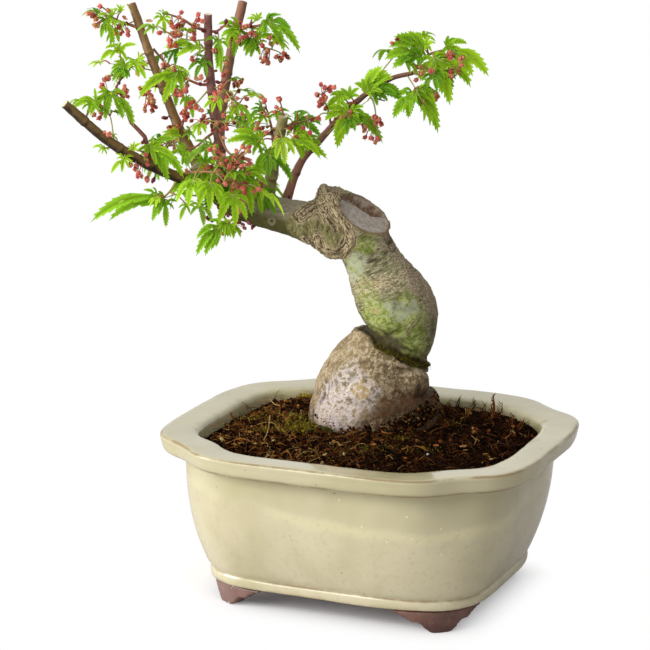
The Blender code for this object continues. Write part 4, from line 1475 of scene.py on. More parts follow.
for _ in range(CREASE_MOSS):
    share = rand.random()
    x = CREASE_START[0] + CREASE_RUN[0] * share + rand.gauss(0, 2.0)
    y = CREASE_START[1] + CREASE_RUN[1] * share + rand.gauss(0, 2.6)
    spot = guide_net.find_nearest(on_bark(x, y))[0]
    lean = Vector((rand.gauss(0.2, 0.5), -rand.uniform(0.2, 0.9), rand.gauss(0.2, 0.5)))
    moss.stalk([spot, spot + lean * 0.6, spot + lean * 1.2], 0.35, 0.12, rand.choice((0, 0, 2, 3, 3)), 3)
moss_finishes = plain_finishes("moss", MOSS_COLOURS, 0.8, gloss=0.05)
hand_in(moss.make("moss_and_straws", [*moss_finishes, *fibre_finishes]), "soil")

chips = Heap()
for (x, y), (long_side, short_side), colour in CHIPS:
    spot = bed_at(x, y) + Vector((0, 0, 0.7))
    turn = Matrix.Rotation(rand.uniform(-0.6, 0.6), 3, "Z") @ Matrix.Rotation(rand.uniform(-0.5, 0.5), 3, "X")
    turn = turn @ Matrix.Diagonal((long_side, short_side, 0.5))
    chips.add([spot + turn @ (p * rand.uniform(0.8, 1.15)) for p in LUMP_POINTS], LUMP_FACES, colour)
chip_finishes = plain_finishes("chip", CHIP_COLOURS, 0.8, gloss=0.05)
hand_in(chips.make("bark_chips", chip_finishes, False), "soil")

# %% [markdown]
# A few brown specks and pale chips can be told apart in the glaze. Each is a disc as thin as paper, laid on
# the wall where the line from the eye meets it.

# %% Specks in the glaze
SPECKS = (
    # pixel, radius in millimetres, colour
    ((334.5, 493.5), 0.42, 0), ((315.7, 485), 0.34, 0), ((341.7, 573), 0.38, 0), ((188, 472), 0.36, 0),
    ((216.5, 487), 0.3, 0), ((290, 536), 0.32, 0), ((245, 470), 0.3, 0), ((364, 594), 0.42, 0),
    ((388, 540), 0.24, 0), ((339, 500), 0.5, 1), ((406.7, 517), 0.55, 1), ((412, 539), 0.6, 1),
    ((361.7, 527), 0.5, 1), ((441, 529), 0.5, 1), ((441, 555), 0.45, 1), ((387, 542), 0.45, 1),
    ((302, 484), 0.24, 0), ((538, 440), 0.5, 0), ((545, 430), 0.42, 0), ((541, 449), 0.35, 0))
SPECK_COLOURS = ((0.16, 0.075, 0.025), (0.60, 0.57, 0.44))

SPECK_SIDES = 8
SPECK_RINGS = ((-0.05, 1.0), (0.06, 0.7))

wall = ray_net(pot, 1.0)
specks = Heap()
near = tree_frame @ (eye * MM)
for (x, y), radius, colour in SPECKS:
    far = tree_frame @ (seen(x, y, 0.0) * MM)
    spot, facing = wall.ray_cast(near, (far - near).normalized())[:2]
    side = facing.orthogonal().normalized()
    other = facing.cross(side)
    disc = []
    for lift, reach in SPECK_RINGS:
        for k in range(SPECK_SIDES):
            turn = 2 * math.pi * k / SPECK_SIDES
            out = side * math.cos(turn) + other * math.sin(turn) * 0.8
            disc.append(into_tree @ (spot + facing * lift * MM + out * radius * reach * MM) / MM)
    specks.add(disc, tube_faces(len(SPECK_RINGS), SPECK_SIDES), colour)
speck_finishes = plain_finishes("speck", SPECK_COLOURS, 0.5)
hand_in(specks.make("glaze_specks", speck_finishes, False), "glaze")

# %% [markdown]
# ## The boughs
# The thinner boughs are sweeps as well, each with a flared root, a ring at every node and, all but one, a
# sawn cream end.
# Their bark runs from dark brown to reddish purple, so each has a finish of its own.

# %% Boughs
LIMBS = {
    # colours dark for the painted shade beneath and light for the painted light on top, speckle, node places
    # along it, sawn end, stations
    "bough_left": ((0.022, 0.011, 0.004), (0.16, 0.095, 0.03), 0.12, (0.2, 0.42, 0.62, 0.86), True, (
        (-64.6, -2.6, 163.4, 2.9), (-80.8, -9.0, 170.4, 2.35), (-94.5, -15.0, 177.7, 2.1),
        (-109.9, -21.0, 188.6, 2.0), (-125.1, -26.0, 203.2, 1.8))),
    "bough_upper_left": ((0.04, 0.018, 0.006), (0.20, 0.105, 0.03), 0.12, (0.3, 0.5, 0.72, 0.87), True, (
        (-71.6, -1.4, 170.4, 2.5), (-81.3, 5.0, 187.8, 2.0), (-88.1, 12.0, 203.3, 1.85),
        (-94.4, 18.0, 218.1, 1.75), (-101.5, 24.0, 237.2, 1.7))),
    "bough_middle": ((0.11, 0.035, 0.032), (0.25, 0.115, 0.095), 0.75, (0.25, 0.4, 0.58, 0.85), True, (
        (-62.8, -2.6, 161.8, 2.4), (-65.0, -4.0, 185.1, 2.1), (-67.2, -6.0, 201.8, 1.9),
        (-68.6, -8.0, 218.3, 1.7), (-68.7, -10.0, 236.8, 1.6))),
    "bough_upper_right": ((0.10, 0.035, 0.022), (0.24, 0.11, 0.065), 0.55, (0.3, 0.52, 0.8), True, (
        (-65.2, -3.9, 181.0, 1.9), (-64.1, 6.0, 196.7, 2.0), (-61.0, 15.0, 216.1, 2.0),
        (-55.8, 24.0, 238.0, 1.9))),
    "stub_short": ((0.15, 0.13, 0.04), (0.42, 0.37, 0.16), 0.3, (0.35, 0.8), True, (
        (-46.2, -3.2, 155.8, 2.7), (-42.4, -9.0, 177.8, 2.3), (-38.4, -16.0, 197.2, 2.0))),
    "bough_right": ((0.10, 0.03, 0.024), (0.27, 0.12, 0.08), 0.3, (0.22, 0.36, 0.52, 0.68, 0.84), False, (
        (-39.8, -1.4, 154.0, 2.2), (-32.6, 6.0, 172.7, 1.6), (-24.4, 9.0, 182.6, 1.5),
        (-10.0, 12.0, 197.5, 1.2), (4.0, 14.0, 207.1, 1.0), (14.2, 15.0, 209.9, 0.9))),
}
LIMB_SIDES = 24
LIMB_STEP = 0.55
ROOT_FLARE = 0.55
ROOT_REACH = 3.2
# The swelling at a node, as hills with a rise, a place along the bough and a width in millimetres
NODE_SHAPE = ((0.13, 0.0, 0.8), (0.06, 2.2, 2.0), (-0.05, -1.3, 0.5))
# The rings of a sawn end: how wide, how far out in millimetres, and whether it is wood
SAWN_RINGS = ((0.9, 0.15, 0.0), (0.86, 0.05, 1.0), (0.3, 0.0, 1.0), (0.18, -0.1, 1.0))


def young_bark_finish(name, dark, light, speckle):
    bark = Finish(name, light, 0.55)
    spot = bark.tree_place()
    broad = bark.grain(spot, 0.28, 3.0, 0.6)
    fine = bark.grain(bark.stretch(spot, (2.2, 2.2, 0.5)), 1.0, 4.0, 0.6)
    # Painted light: the bark takes its light colour on the upper side of the bough and its dark one beneath,
    # as painted shade
    upwards = broad * 0.6 + bark.noted("is_top") * 0.7
    dots = bark.step(bark.cells(spot, 1.35), 0.2, 0.1) * bark.step(broad, 0.3, 0.5)
    cream = bark.mix((0.62, 0.55, 0.34), (0.74, 0.70, 0.52), fine)
    colour = bark.coats(
        bark.mix(dark, light, bark.step(upwards, 0.35, 0.85)),
        (dark, bark.step(fine, 0.55, 0.75) * 0.45),
        ((0.52, 0.42, 0.34), dots * speckle),
        (bark.mix(cream, (0.22, 0.14, 0.07), bark.noted("is_pith")), bark.noted("is_wood")))
    bark.set(**{"Base Color": colour, "Roughness": 0.36 + fine * 0.22, "Specular IOR Level": 0.25})
    bark.raise_surface(fine * 0.7 + dots * 0.5, 0.16, 0.5)
    return bark


def limb_shape(stations, nodes, sawn, seed):
    """Points and faces of one bough, with the share of wood and pith for each point."""
    rows = smooth_rows(stations, 200)
    length = float(np.linalg.norm(np.diff(rows[:, :3], axis=0), axis=1).sum())
    count = max(int(length / LIMB_STEP), 12)

    def swell(share, turn):
        out = 1.0 + ROOT_FLARE * math.exp(-share * length / ROOT_REACH)
        for node in nodes:
            gap = (share - node) * length
            out += sum(rise * math.exp(-((gap - middle) / width) ** 2) for rise, middle, width in NODE_SHAPE)
        bump = noise.noise(Vector((math.cos(turn) * 1.3, math.sin(turn) * 1.3, share * length * 0.35 + seed)))
        return out + bump * 0.09

    points, faces = sweep(stations, count, LIMB_SIDES, swell=swell)
    wood = [0.0] * len(points)
    pith = [0.0] * len(points)
    if sawn:
        faces.pop()
        first = len(points) - LIMB_SIDES
        rim = points[first:]
        centre = sum(rim, Vector()) / LIMB_SIDES
        ahead = (Vector(rows[-1][:3]) - Vector(rows[-3][:3])).normalized()
        for share, lift, wooden in SAWN_RINGS:
            start = len(points)
            points += [centre + (p - centre) * share + ahead * lift for p in rim]
            wood += [wooden] * LIMB_SIDES
            pith += [1.0 if share < 0.2 else 0.0] * LIMB_SIDES
            for i in range(LIMB_SIDES):
                j = (i + 1) % LIMB_SIDES
                faces.append((start - LIMB_SIDES + i, start - LIMB_SIDES + j, start + j, start + i))
        faces.append(tuple(range(len(points) - LIMB_SIDES, len(points))))
    return points, faces, wood, pith


limb_lines = {"bough_main": smooth_rows(BOUGH_MAIN, 60)}
for number, (name, (dark, light, speckle, nodes, sawn, stations)) in enumerate(LIMBS.items()):
    points, faces, wood, pith = limb_shape(stations, nodes, sawn, number * 7.3)
    finish = young_bark_finish(name + "_bark", dark, light, speckle)
    limb = piece_from(name + "_limb", [tree_frame @ (p * MM) for p in points], faces, [finish])
    # How much each point faces up, for the painted light on the upper side
    top = [min(max(0.5 + 0.7 * vertex.normal.z, 0.0), 1.0) for vertex in limb.data.vertices]
    for key, values in (("is_wood", wood), ("is_pith", pith), ("is_top", top)):
        note(limb.data, key, values)
    limb_lines[name] = smooth_rows(stations, 80)
    hand_in(limb, "young_bark", name)

# %% [markdown]
# ## Shoots
# Thin shoots leave the nodes of the boughs. Those in plain view are drawn through the pixels where they
# show and start on the nearest bough; the rest grow by rule inside the imported masses. Each one thins
# towards its tip and is red-brown, red or olive green.

# %% Shoots in view
SHOOT_COLOURS = ((0.16, 0.05, 0.03), (0.30, 0.12, 0.05), (0.33, 0.30, 0.07), (0.40, 0.10, 0.07))
SHOOTS = (
    # pixels from the bough outwards, drift back in millimetres, widths, colour
    (((139.5, 27.7), (128, 24), (119, 21), (112, 17)), -3, (1.5, 0.8), 1),
    (((139.5, 27.7), (133, 14), (127, 4)), 2, (1.2, 0.7), 2),
    (((208, 31.4), (195, 27), (182, 19), (168, 14)), -3, (1.5, 0.7), 1),
    (((208, 31.4), (217, 31), (226, 24)), 2, (1.2, 0.8), 3),
    (((235.7, 27.7), (247, 27), (257, 26), (268, 22)), -3, (1.6, 0.8), 1),
    (((235.7, 27.7), (229, 26), (220, 27)), -2, (1.2, 0.7), 3),
    (((158, 150), (145, 137.5), (131, 122.5), (124, 100), (116, 87.5), (120, 80), (128, 73)),
        2, (2.2, 0.8), 0),
    (((119, 83), (117, 72), (121, 62)), 1, (1.1, 0.6), 2),
    (((124.7, 103.6), (116, 98), (108, 93)), -2, (1.1, 0.6), 2),
    (((210.7, 85), (200, 84.4), (189, 80), (177, 74)), -4, (1.4, 0.7), 3),
    (((208, 55.5), (205, 50), (202, 46)), -3, (1.1, 0.7), 2),
    (((158, 74), (162, 68), (166, 60)), -2, (1.1, 0.6), 2),
    (((163.6, 89), (155, 86), (148, 90), (146, 98)), -3, (1.1, 0.6), 1),
    (((224.6, 77.7), (232, 79), (238, 84)), 2, (1.2, 0.6), 1),
    (((276.4, 157), (273, 140), (271.6, 128), (267, 110)), -3, (1.5, 0.8), 1),
    (((307.8, 152), (301, 138), (295, 121)), -3, (1.4, 0.7), 0),
    (((332, 127.6), (328, 110), (322, 96)), -2, (1.1, 0.6), 1),
    (((354.8, 104), (351, 110), (349, 113)), -3, (1.0, 0.7), 2),
    (((389, 80), (380, 84), (373, 90)), -2, (1.1, 0.7), 2),
    (((369, 91.4), (374, 104), (376, 116)), -3, (0.9, 0.5), 2),
    (((412, 74), (421, 62), (430, 54), (448, 49)), 4, (1.6, 0.8), 2),
    (((414, 74), (424, 78), (431, 90)), -3, (1.0, 0.6), 2),
    (((448, 49), (453, 56), (459, 64)), -3, (0.9, 0.5), 2),
    (((158, 172), (152, 160), (143, 152), (134, 149)), -4, (1.4, 0.7), 1),
    (((121, 153.5), (113, 148), (104, 148)), -2, (1.1, 0.6), 2),
    (((180, 129.5), (185, 116), (188, 106)), -3, (1.2, 0.6), 3),
    (((178.4, 179.4), (171, 190), (163, 198)), -6, (1.3, 0.7), 2),
    (((232, 226), (216, 220), (203, 217)), -6, (1.4, 1.0), 3),
    (((232, 226), (228, 224), (222, 224)), -8, (1.1, 0.8), 2),
    (((262, 205), (258, 196), (250, 184), (240, 174)), -9, (1.5, 0.7), 1),
    (((210, 165), (211, 168), (211, 172)), -8, (1.2, 0.7), 2),
    (((216.3, 131), (206, 138), (197, 146), (186, 150)), -6, (1.3, 0.7), 1),
    (((262, 205), (266, 190), (268, 172), (266, 157)), -8, (1.4, 0.7), 2),
    (((283, 135), (289, 142), (292, 141)), -3, (1.0, 0.6), 2),
    (((236, 222), (242, 210), (238, 200)), -10, (1.2, 0.6), 1),
    (((217, 127.6), (222, 140), (228, 152), (240, 160)), -9, (1.3, 0.7), 1),
    (((250, 29), (256, 38), (262, 47), (270, 50)), -2, (0.9, 0.5), 2),
    (((262, 47), (274, 50), (283, 54)), -1, (0.8, 0.4), 2),
    (((210, 87), (203, 96), (196, 104)), -3, (0.9, 0.5), 2),
    (((226, 26), (224, 23), (225, 20)), 0, (0.9, 0.4), 0),
    (((228, 26), (229, 23), (231, 22)), 0, (0.9, 0.4), 0),
    (((247, 27), (251, 22), (252, 16)), -1, (1.0, 0.4), 0),
    (((251, 25), (255, 21), (256, 17)), -1, (0.9, 0.4), 0),
    (((369, 92), (376, 98), (385, 101)), -2, (1.0, 0.5), 0),
    (((86, 124), (86, 118), (88, 112)), -1, (1.1, 0.6), 0),
)


def pixel_of(spot):
    """The pixel at which a point of the tree's frame shows."""
    local = eye_turn.inverted() @ (Vector(spot) - eye)
    middle = VIEW_SIDE / 2
    return (middle - FOCAL_PIXELS * local.x / local.z, middle + FOCAL_PIXELS * local.y / local.z)


# How many pixels each millimetre further back counts for when the nearest bough is looked for
BACK_COST = 0.02
limb_spots = []
for line in limb_lines.values():
    limb_spots += [(Vector(row[:3]), pixel_of(row[:3])) for row in line]


def nearest_limb(x, y):
    """The point on a bough or shoot that shows nearest to a pixel."""
    return min(limb_spots, key=lambda row: math.dist(row[1], (x, y)) + BACK_COST * row[0].y)[0]


rand = random.Random(21)
twigs = Heap()
for pixels, drift, widths, colour in SHOOTS:
    start = nearest_limb(*pixels[0])
    count = len(pixels) - 1
    route = [start] + [seen(x, y, start.y + drift * (k + 1) / count) for k, (x, y) in enumerate(pixels[1:])]
    rows = smooth_rows([(*p, 1.0) for p in route], 12)
    line = [Vector(row[:3]) for row in rows]
    twigs.stalk(line, widths[0], widths[1], colour, 8)
    limb_spots += [(p, pixel_of(p)) for p in line]
print("shoots in view", len(SHOOTS))

# %% [markdown]
# ## Leaves
# A maple leaf is a hand of narrow toothed blades joined at the foot. Here a leaf is given its foot and the
# tip of each blade, so a leaf in plain view can point just where it should. Every blade is folded a little
# along its rib and has six teeth a side, which is all that the eye can tell at this size.

# %% Leaf
LEAF_COLOURS = (
    (0.29, 0.50, 0.010), (0.21, 0.41, 0.008), (0.13, 0.31, 0.006), (0.38, 0.57, 0.03), (0.08, 0.22, 0.005),
    (0.24, 0.42, 0.035))
LEAF_SHARES = (30, 32, 20, 6, 8, 4)
VEIN_SLOT = len(LEAF_COLOURS)
VEIN_COLOUR = (0.46, 0.55, 0.14)
BLADE_SPOTS = (0.24, 0.36, 0.48, 0.60, 0.71, 0.81, 0.90, 1.0)
BLADE_WIDTHS = (0.0, 0.108, 0.118, 0.110, 0.092, 0.066, 0.038)
# How light the rib is at each of those spots
RIB_SHARES = (0.1, 0.1, 0.15, 0.2, 0.25, 0.35, 0.5, 0.9)
TOOTH = 0.042
# Where the web of the palm ends, in shares of a blade: beside the stalk, and between two blades
PALM_FOOT = 0.12
PALM_REACH = 0.33
VEIN_FROM = 7.0
BLADE_TURNS = (-122, -80, -39, 0, 39, 80, 122)
BLADE_PARTS = (0.34, 0.66, 0.92, 1.0, 0.92, 0.66, 0.34)


def leaf(foot_spot, tips, up, slot, wide=1.0):
    """One leaf with an arched blade to each tip; seen from above, the tips go round from left to right."""
    up = up.normalized()
    aims = [tip - foot_spot for tip in tips]
    ways = [aim.normalized() for aim in aims]
    sides = [way.cross(up).normalized() for way in ways]
    joints = [foot_spot + ways[0] * aims[0].length * PALM_FOOT - sides[0] * aims[0].length * PALM_FOOT]
    for k in range(len(aims) - 1):
        between = (ways[k] + ways[k + 1]).normalized()
        reach = PALM_REACH * min(aims[k].length, aims[k + 1].length)
        joints.append(foot_spot + between * reach + up * 0.15)
    length = aims[-1].length
    joints.append(foot_spot + ways[-1] * length * PALM_FOOT + sides[-1] * length * PALM_FOOT)
    points = [foot_spot] + joints
    shares = [0.2] + [0.75] * len(joints)
    faces = []
    slots = []
    for k, aim in enumerate(aims):
        size = aim.length
        arch = (Vector((0, 0, 1)) - ways[k] * ways[k].z) * size * rand.uniform(0.08, 0.2)
        bow = up * size * rand.uniform(0.01, 0.05) + arch
        fold = up * size * rand.uniform(0.02, 0.05)
        left_joint, right_joint = 1 + k, 2 + k
        start = len(points)
        rib = [foot_spot + aim * f + bow * (4 * f * (1 - f)) for f in BLADE_SPOTS]
        points += rib
        shares += RIB_SHARES
        for sign, joint in ((1, right_joint), (-1, left_joint)):
            out = sides[k] * sign * wide * min(size, 8 + size * 0.4)
            notches = [points[joint]]
            teeth = []
            for i in range(1, len(BLADE_WIDTHS)):
                notches.append(rib[i] + out * (BLADE_WIDTHS[i] - 0.012) + fold * (1.1 - 0.12 * i))
                teeth.append(notches[-2].lerp(notches[-1], 0.8) + out * TOOTH + aim * 0.036)
            at = len(points)
            for tooth, notch in zip(teeth, notches[1:]):
                points += [tooth, notch]
                shares += [1.0, 0.7]
            made = [(0, joint, start), (start, joint, at, at + 1, start + 1)]
            for i in range(1, len(teeth)):
                made.append((start + i, at + 2 * i - 1, at + 2 * i, at + 2 * i + 1, start + i + 1))
            made.append((start + len(teeth), at + 2 * len(teeth) - 1, start + len(teeth) + 1))
            faces += made if sign > 0 else [tuple(reversed(face)) for face in made]
            slots += [slot] * len(made)
        if size > VEIN_FROM:
            lift = up * 0.12
            half = sides[k] * size * 0.011
            at = len(points)
            points += [foot_spot + lift - half, foot_spot + lift + half]
            points += [rib[2] + lift - half * 0.8, rib[2] + lift + half * 0.8, rib[5] + lift * 0.5]
            shares += [0.5] * 5
            faces += [(at, at + 1, at + 3, at + 2), (at + 2, at + 3, at + 4)]
            slots += [VEIN_SLOT] * 2
    leaves.add(points, faces, slots, shares)


def open_leaf(foot_spot, ahead, up, length, slot, spread, droop):
    """A leaf by rule: seven blades round its foot, hanging the more the longer they are."""
    ahead = ahead.normalized()
    right = ahead.cross(up).normalized()
    up = right.cross(ahead).normalized()
    tips = []
    for blade_turn, part in zip(BLADE_TURNS, BLADE_PARTS):
        turn = math.radians(blade_turn * spread + rand.uniform(-6, 6))
        size = length * part * rand.uniform(0.9, 1.08)
        tip = (ahead * math.cos(turn) + right * math.sin(turn)) * size
        tips.append(foot_spot + tip + Vector((0, 0, -1)) * droop * size * rand.uniform(0.7, 1.3))
    leaf(foot_spot, tips, up, slot)


# %% [markdown]
# The leaves in plain view are listed with the pixel of their foot and the pixels of the blade tips that can
# be told apart. Missing blades are filled in between and beside them, shorter towards the stalk, as on
# every maple.

# %% Leaves in view
SEEN_LEAVES = (
    # foot, tips, colour
    ((106, 19), ((101, 39), (106, 34), (114, 45), (97, 27)), 1),
    ((121, 12), ((116, 4), (125, 5), (112, 10)), 0),
    ((113, 15), ((106, 8), (112, 8), (119, 9)), 3),
    ((112, 17), ((97, 17), (102, 26)), 0),
    ((163, 14), ((158, 11), (167, 11), (170, 18)), 1),
    ((163, 17), ((165, 35), (172, 28), (153, 20)), 0),
    ((119, 49), ((100, 63), (110, 60), (121, 42), (137, 45), (112, 44)), 0),
    ((125, 64), ((112, 82), (119, 82), (127, 80), (113, 62), (134, 70)), 1),
    ((124, 68), ((110, 76), (117, 80), (130, 78)), 2),
    ((135, 62), ((139, 78), (146, 80), (149, 68), (128, 60)), 0),
    ((139, 58), ((138, 51), (147, 66), (146, 58)), 3),
    ((112, 92), ((134, 127), (123, 120), (105, 121), (90, 117), (117, 108)), 1),
    ((108, 93), ((97, 93), (104, 108), (95, 106)), 0),
    ((96, 100), ((72, 109), (78, 100), (87, 117), (92, 96)), 0),
    ((90, 103), ((82, 110), (99, 112), (86, 96)), 1),
    ((180, 73), ((138, 100), (146, 88), (163, 105), (182, 93), (190, 74)), 0),
    ((178, 72), ((168, 90), (172, 96), (184, 84)), 1),
    ((200, 47), ((163, 48), (165, 53), (175, 58), (190, 54), (205, 52)), 0),
    ((205, 60), ((188, 72), (195, 80), (206, 78), (192, 64)), 2),
    ((219, 40), ((212, 47), (218, 69), (222, 62), (214, 56)), 1),
    ((222, 58), ((216, 70), (221, 74), (226, 66)), 0),
    ((240, 28), ((217, 25), (220, 38), (228, 54), (233, 58), (226, 32)), 1),
    ((232, 30), ((222, 34), (226, 46), (238, 48)), 0),
    ((258, 42), ((245, 57), (250, 58), (256, 52), (262, 46)), 1),
    ((250, 38), ((240, 48), (246, 52), (256, 50)), 2),
    ((258, 36), ((282, 46), (274, 38), (270, 32), (262, 44)), 0),
    ((268, 20), ((300, 54), (284, 52), (276, 37), (290, 28), (270, 28)), 1),
    ((266, 20), ((278, 36), (284, 44), (292, 30)), 2),
    ((258, 20), ((250, 14), (256, 12), (262, 12), (246, 19)), 0),
    ((262, 108), ((249, 121), (250, 110), (254, 104), (266, 116)), 2),
    ((264, 116), ((250, 126), (256, 134), (262, 122)), 0),
    ((276, 112), ((268, 122), (284, 118), (290, 112)), 1),
    ((295, 120), ((321, 138), (322, 126), (312, 122), (300, 134)), 2),
    ((294, 124), ((303, 160), (298, 150), (308, 142)), 1),
    ((292, 139), ((328, 160), (321, 160), (310, 152), (302, 160)), 0),
    ((306, 138), ((322, 146), (314, 150), (320, 138)), 1),
    ((349, 111), ((325, 110), (324, 121), (335, 140), (337, 149), (350, 130)), 0),
    ((350, 111), ((383, 144), (378, 134), (366, 118), (356, 128)), 1),
    ((340, 96), ((330, 104), (326, 112), (344, 104)), 0),
    ((350, 98), ((340, 88), (350, 85), (360, 88), (330, 94)), 1),
    ((366, 92), ((362, 78), (372, 68), (383, 66), (392, 74)), 0),
    ((370, 90), ((388, 70), (380, 76), (394, 78)), 3),
    ((373, 92), ((404, 103), (398, 96), (384, 84), (388, 102)), 2),
    ((376, 88), ((392, 86), (402, 96), (386, 94)), 1),
    ((423, 51), ((393, 37), (388, 48), (384, 60), (392, 69), (398, 40)), 1),
    ((423, 50), ((407, 31), (416, 31), (400, 36), (426, 38)), 0),
    ((420, 56), ((400, 54), (398, 66), (408, 68)), 2),
    ((425, 44), ((436, 44), (432, 52), (432, 37)), 3),
    ((433, 57), ((471, 88), (450, 106), (442, 95), (434, 81), (420, 82)), 0),
    ((436, 58), ((452, 92), (444, 84), (456, 80)), 2),
    ((450, 47), ((489, 77), (473, 77), (461, 66), (446, 38), (462, 50)), 0),
    ((446, 46), ((456, 38), (468, 44), (450, 56)), 1),
    ((413, 92), ((438, 134), (430, 118), (408, 119), (393, 119), (402, 90)), 1),
    ((418, 90), ((436, 106), (438, 118), (424, 104)), 0),
    ((151, 145), ((154, 135), (184, 179), (168, 183), (162, 172), (141, 150)), 1),
    ((150, 146), ((176, 160), (156, 166), (144, 158)), 0),
    ((124, 158), ((111, 174), (122, 173), (133, 164), (116, 160)), 0),
    ((133, 150), ((135, 141), (142, 143), (127, 146)), 3),
    ((104, 148), ((92, 149), (107, 155), (98, 153)), 0),
    ((113, 136), ((109, 132), (114, 132), (118, 141)), 0),
    ((157, 194), ((90, 223),), 1),
    ((160, 201), ((108, 222),), 1),
    ((164, 199), ((152, 222), (158, 191), (141, 206)), 1),
    ((165, 202), ((166, 228), (158, 216), (174, 210)), 1),
    ((211, 168), ((170, 201), (181, 191), (190, 184), (206, 207), (218, 190)), 1),
    ((212, 168), ((192, 176), (198, 196), (224, 178)), 0),
    ((186, 204), ((180, 221), (190, 214), (196, 208)), 0),
    ((200, 204), ((190, 216), (204, 227), (212, 222)), 5),
    ((241, 174), ((221, 200), (236, 196), (252, 217), (264, 180)), 0),
    ((238, 172), ((226, 182), (244, 198), (262, 176)), 1),
    ((262, 193), ((258, 210), (267, 227), (276, 216), (281, 204)), 2),
    ((258, 192), ((250, 206), (262, 214), (272, 200)), 0),
    ((270, 155), ((269, 178), (292, 184), (284, 166), (276, 172)), 2),
    ((268, 150), ((256, 168), (264, 172), (282, 160)), 1),
    ((262, 138), ((225, 143), (231, 132), (244, 128), (240, 148)), 0),
    ((258, 142), ((236, 138), (244, 152), (262, 158)), 1),
    ((208, 146), ((186, 169), (192, 156), (198, 150), (205, 162)), 5),
    ((212, 144), ((196, 152), (216, 160), (204, 142)), 0),
    ((222, 224), ((196, 257), (205, 257), (211, 251), (216, 248), (196, 240)), 1),
    ((224, 222), ((236, 233), (231, 238), (224, 236)), 0),
    ((186, 150), ((168, 158), (174, 146), (182, 166)), 1),
    ((178, 134), ((166, 132), (160, 138), (172, 142)), 0),
    ((190, 132), ((182, 138), (196, 140), (186, 126)), 1),
    ((232, 188), ((212, 200), (222, 214), (236, 210)), 2),
    ((196, 178), ((178, 192), (186, 204), (200, 202)), 0),
    ((206, 190), ((198, 208), (208, 216), (216, 204)), 2),
    ((250, 172), ((244, 188), (256, 198), (268, 186)), 0),
)
STALK_SLOTS = (2, 2, 3, 1)
# The leaves of the right part of the crown are broader in the blade
RIGHT_PART_FROM = 320
LEFT_WIDTH = 0.95
RIGHT_WIDTH = 1.25
# Turns in radians: the widest gap between two blades, how far out the last may lie, and the step to a new one
BLADE_GAP = 1.05
BLADE_END = 1.4
BLADE_STEP = 0.68
# Lengths of the blades that are filled in: a share of both neighbours, or of the longest up to a limit
BETWEEN_SHARE = 0.45
SIDE_SHARES = (0.5, 0.28)
SIDE_LONGEST = 30
rand = random.Random(33)
leaves = Heap()


def fill_blades(foot_pixel, tips):
    """All blade tips of a leaf in view, in order from left to right, with the unseen ones filled in."""
    pull = sum((Vector(t) - Vector(foot_pixel) for t in tips), Vector((0, 0)))
    middle = math.atan2(-pull.y, pull.x)
    rows = []
    for tip in tips:
        angle = math.atan2(foot_pixel[1] - tip[1], tip[0] - foot_pixel[0])
        turn = (angle - middle + math.pi) % (2 * math.pi) - math.pi
        rows.append((-turn, math.dist(foot_pixel, tip)))
    rows.sort()
    longest = max(size for _, size in rows)
    filled = [rows[0]]
    for row in rows[1:]:
        if row[0] - filled[-1][0] > BLADE_GAP:
            filled.append(((row[0] + filled[-1][0]) / 2, (row[1] + filled[-1][1]) * BETWEEN_SHARE))
        filled.append(row)
    for share in SIDE_SHARES:
        size = min(longest, SIDE_LONGEST) * share
        if filled[-1][0] < BLADE_END:
            filled.append((filled[-1][0] + BLADE_STEP, size))
        if filled[0][0] > -BLADE_END:
            filled.insert(0, (filled[0][0] - BLADE_STEP, size))
    return [
        (foot_pixel[0] + math.cos(middle - turn) * size, foot_pixel[1] - math.sin(middle - turn) * size)
        for turn, size in filled]


for foot_pixel, tips, colour in SEEN_LEAVES:
    root = nearest_limb(*foot_pixel)
    back = root.y + rand.uniform(-4.5, -1.5)
    foot_spot = seen(*foot_pixel, back)
    tip_spots = [seen(x, y, back + rand.uniform(-3.5, 2.0)) for x, y in fill_blades(foot_pixel, tips)]
    up = Vector((rand.uniform(-0.4, 0.4), -1.0, rand.uniform(0.3, 1.0)))
    leaf(foot_spot, tip_spots, up, colour, RIGHT_WIDTH if foot_pixel[0] > RIGHT_PART_FROM else LEFT_WIDTH)
    if (root - foot_spot).length > 0.6:
        twigs.stalk(arc(root, foot_spot, (0, 0, 0.8), 5), 0.75, 0.5, rand.choice(STALK_SLOTS), 5)
print("leaves in view", len(SEEN_LEAVES))

# %% [markdown]
# Out of plain view the foliage grows by rule. A shoot runs along each packed mass from the bough that
# carries it, bears pairs of leaves that face each other at its nodes, each pair turned by a quarter from
# the last, and ends in one leaf more. The masses behind get more pairs, so that the crown is full from
# every side.

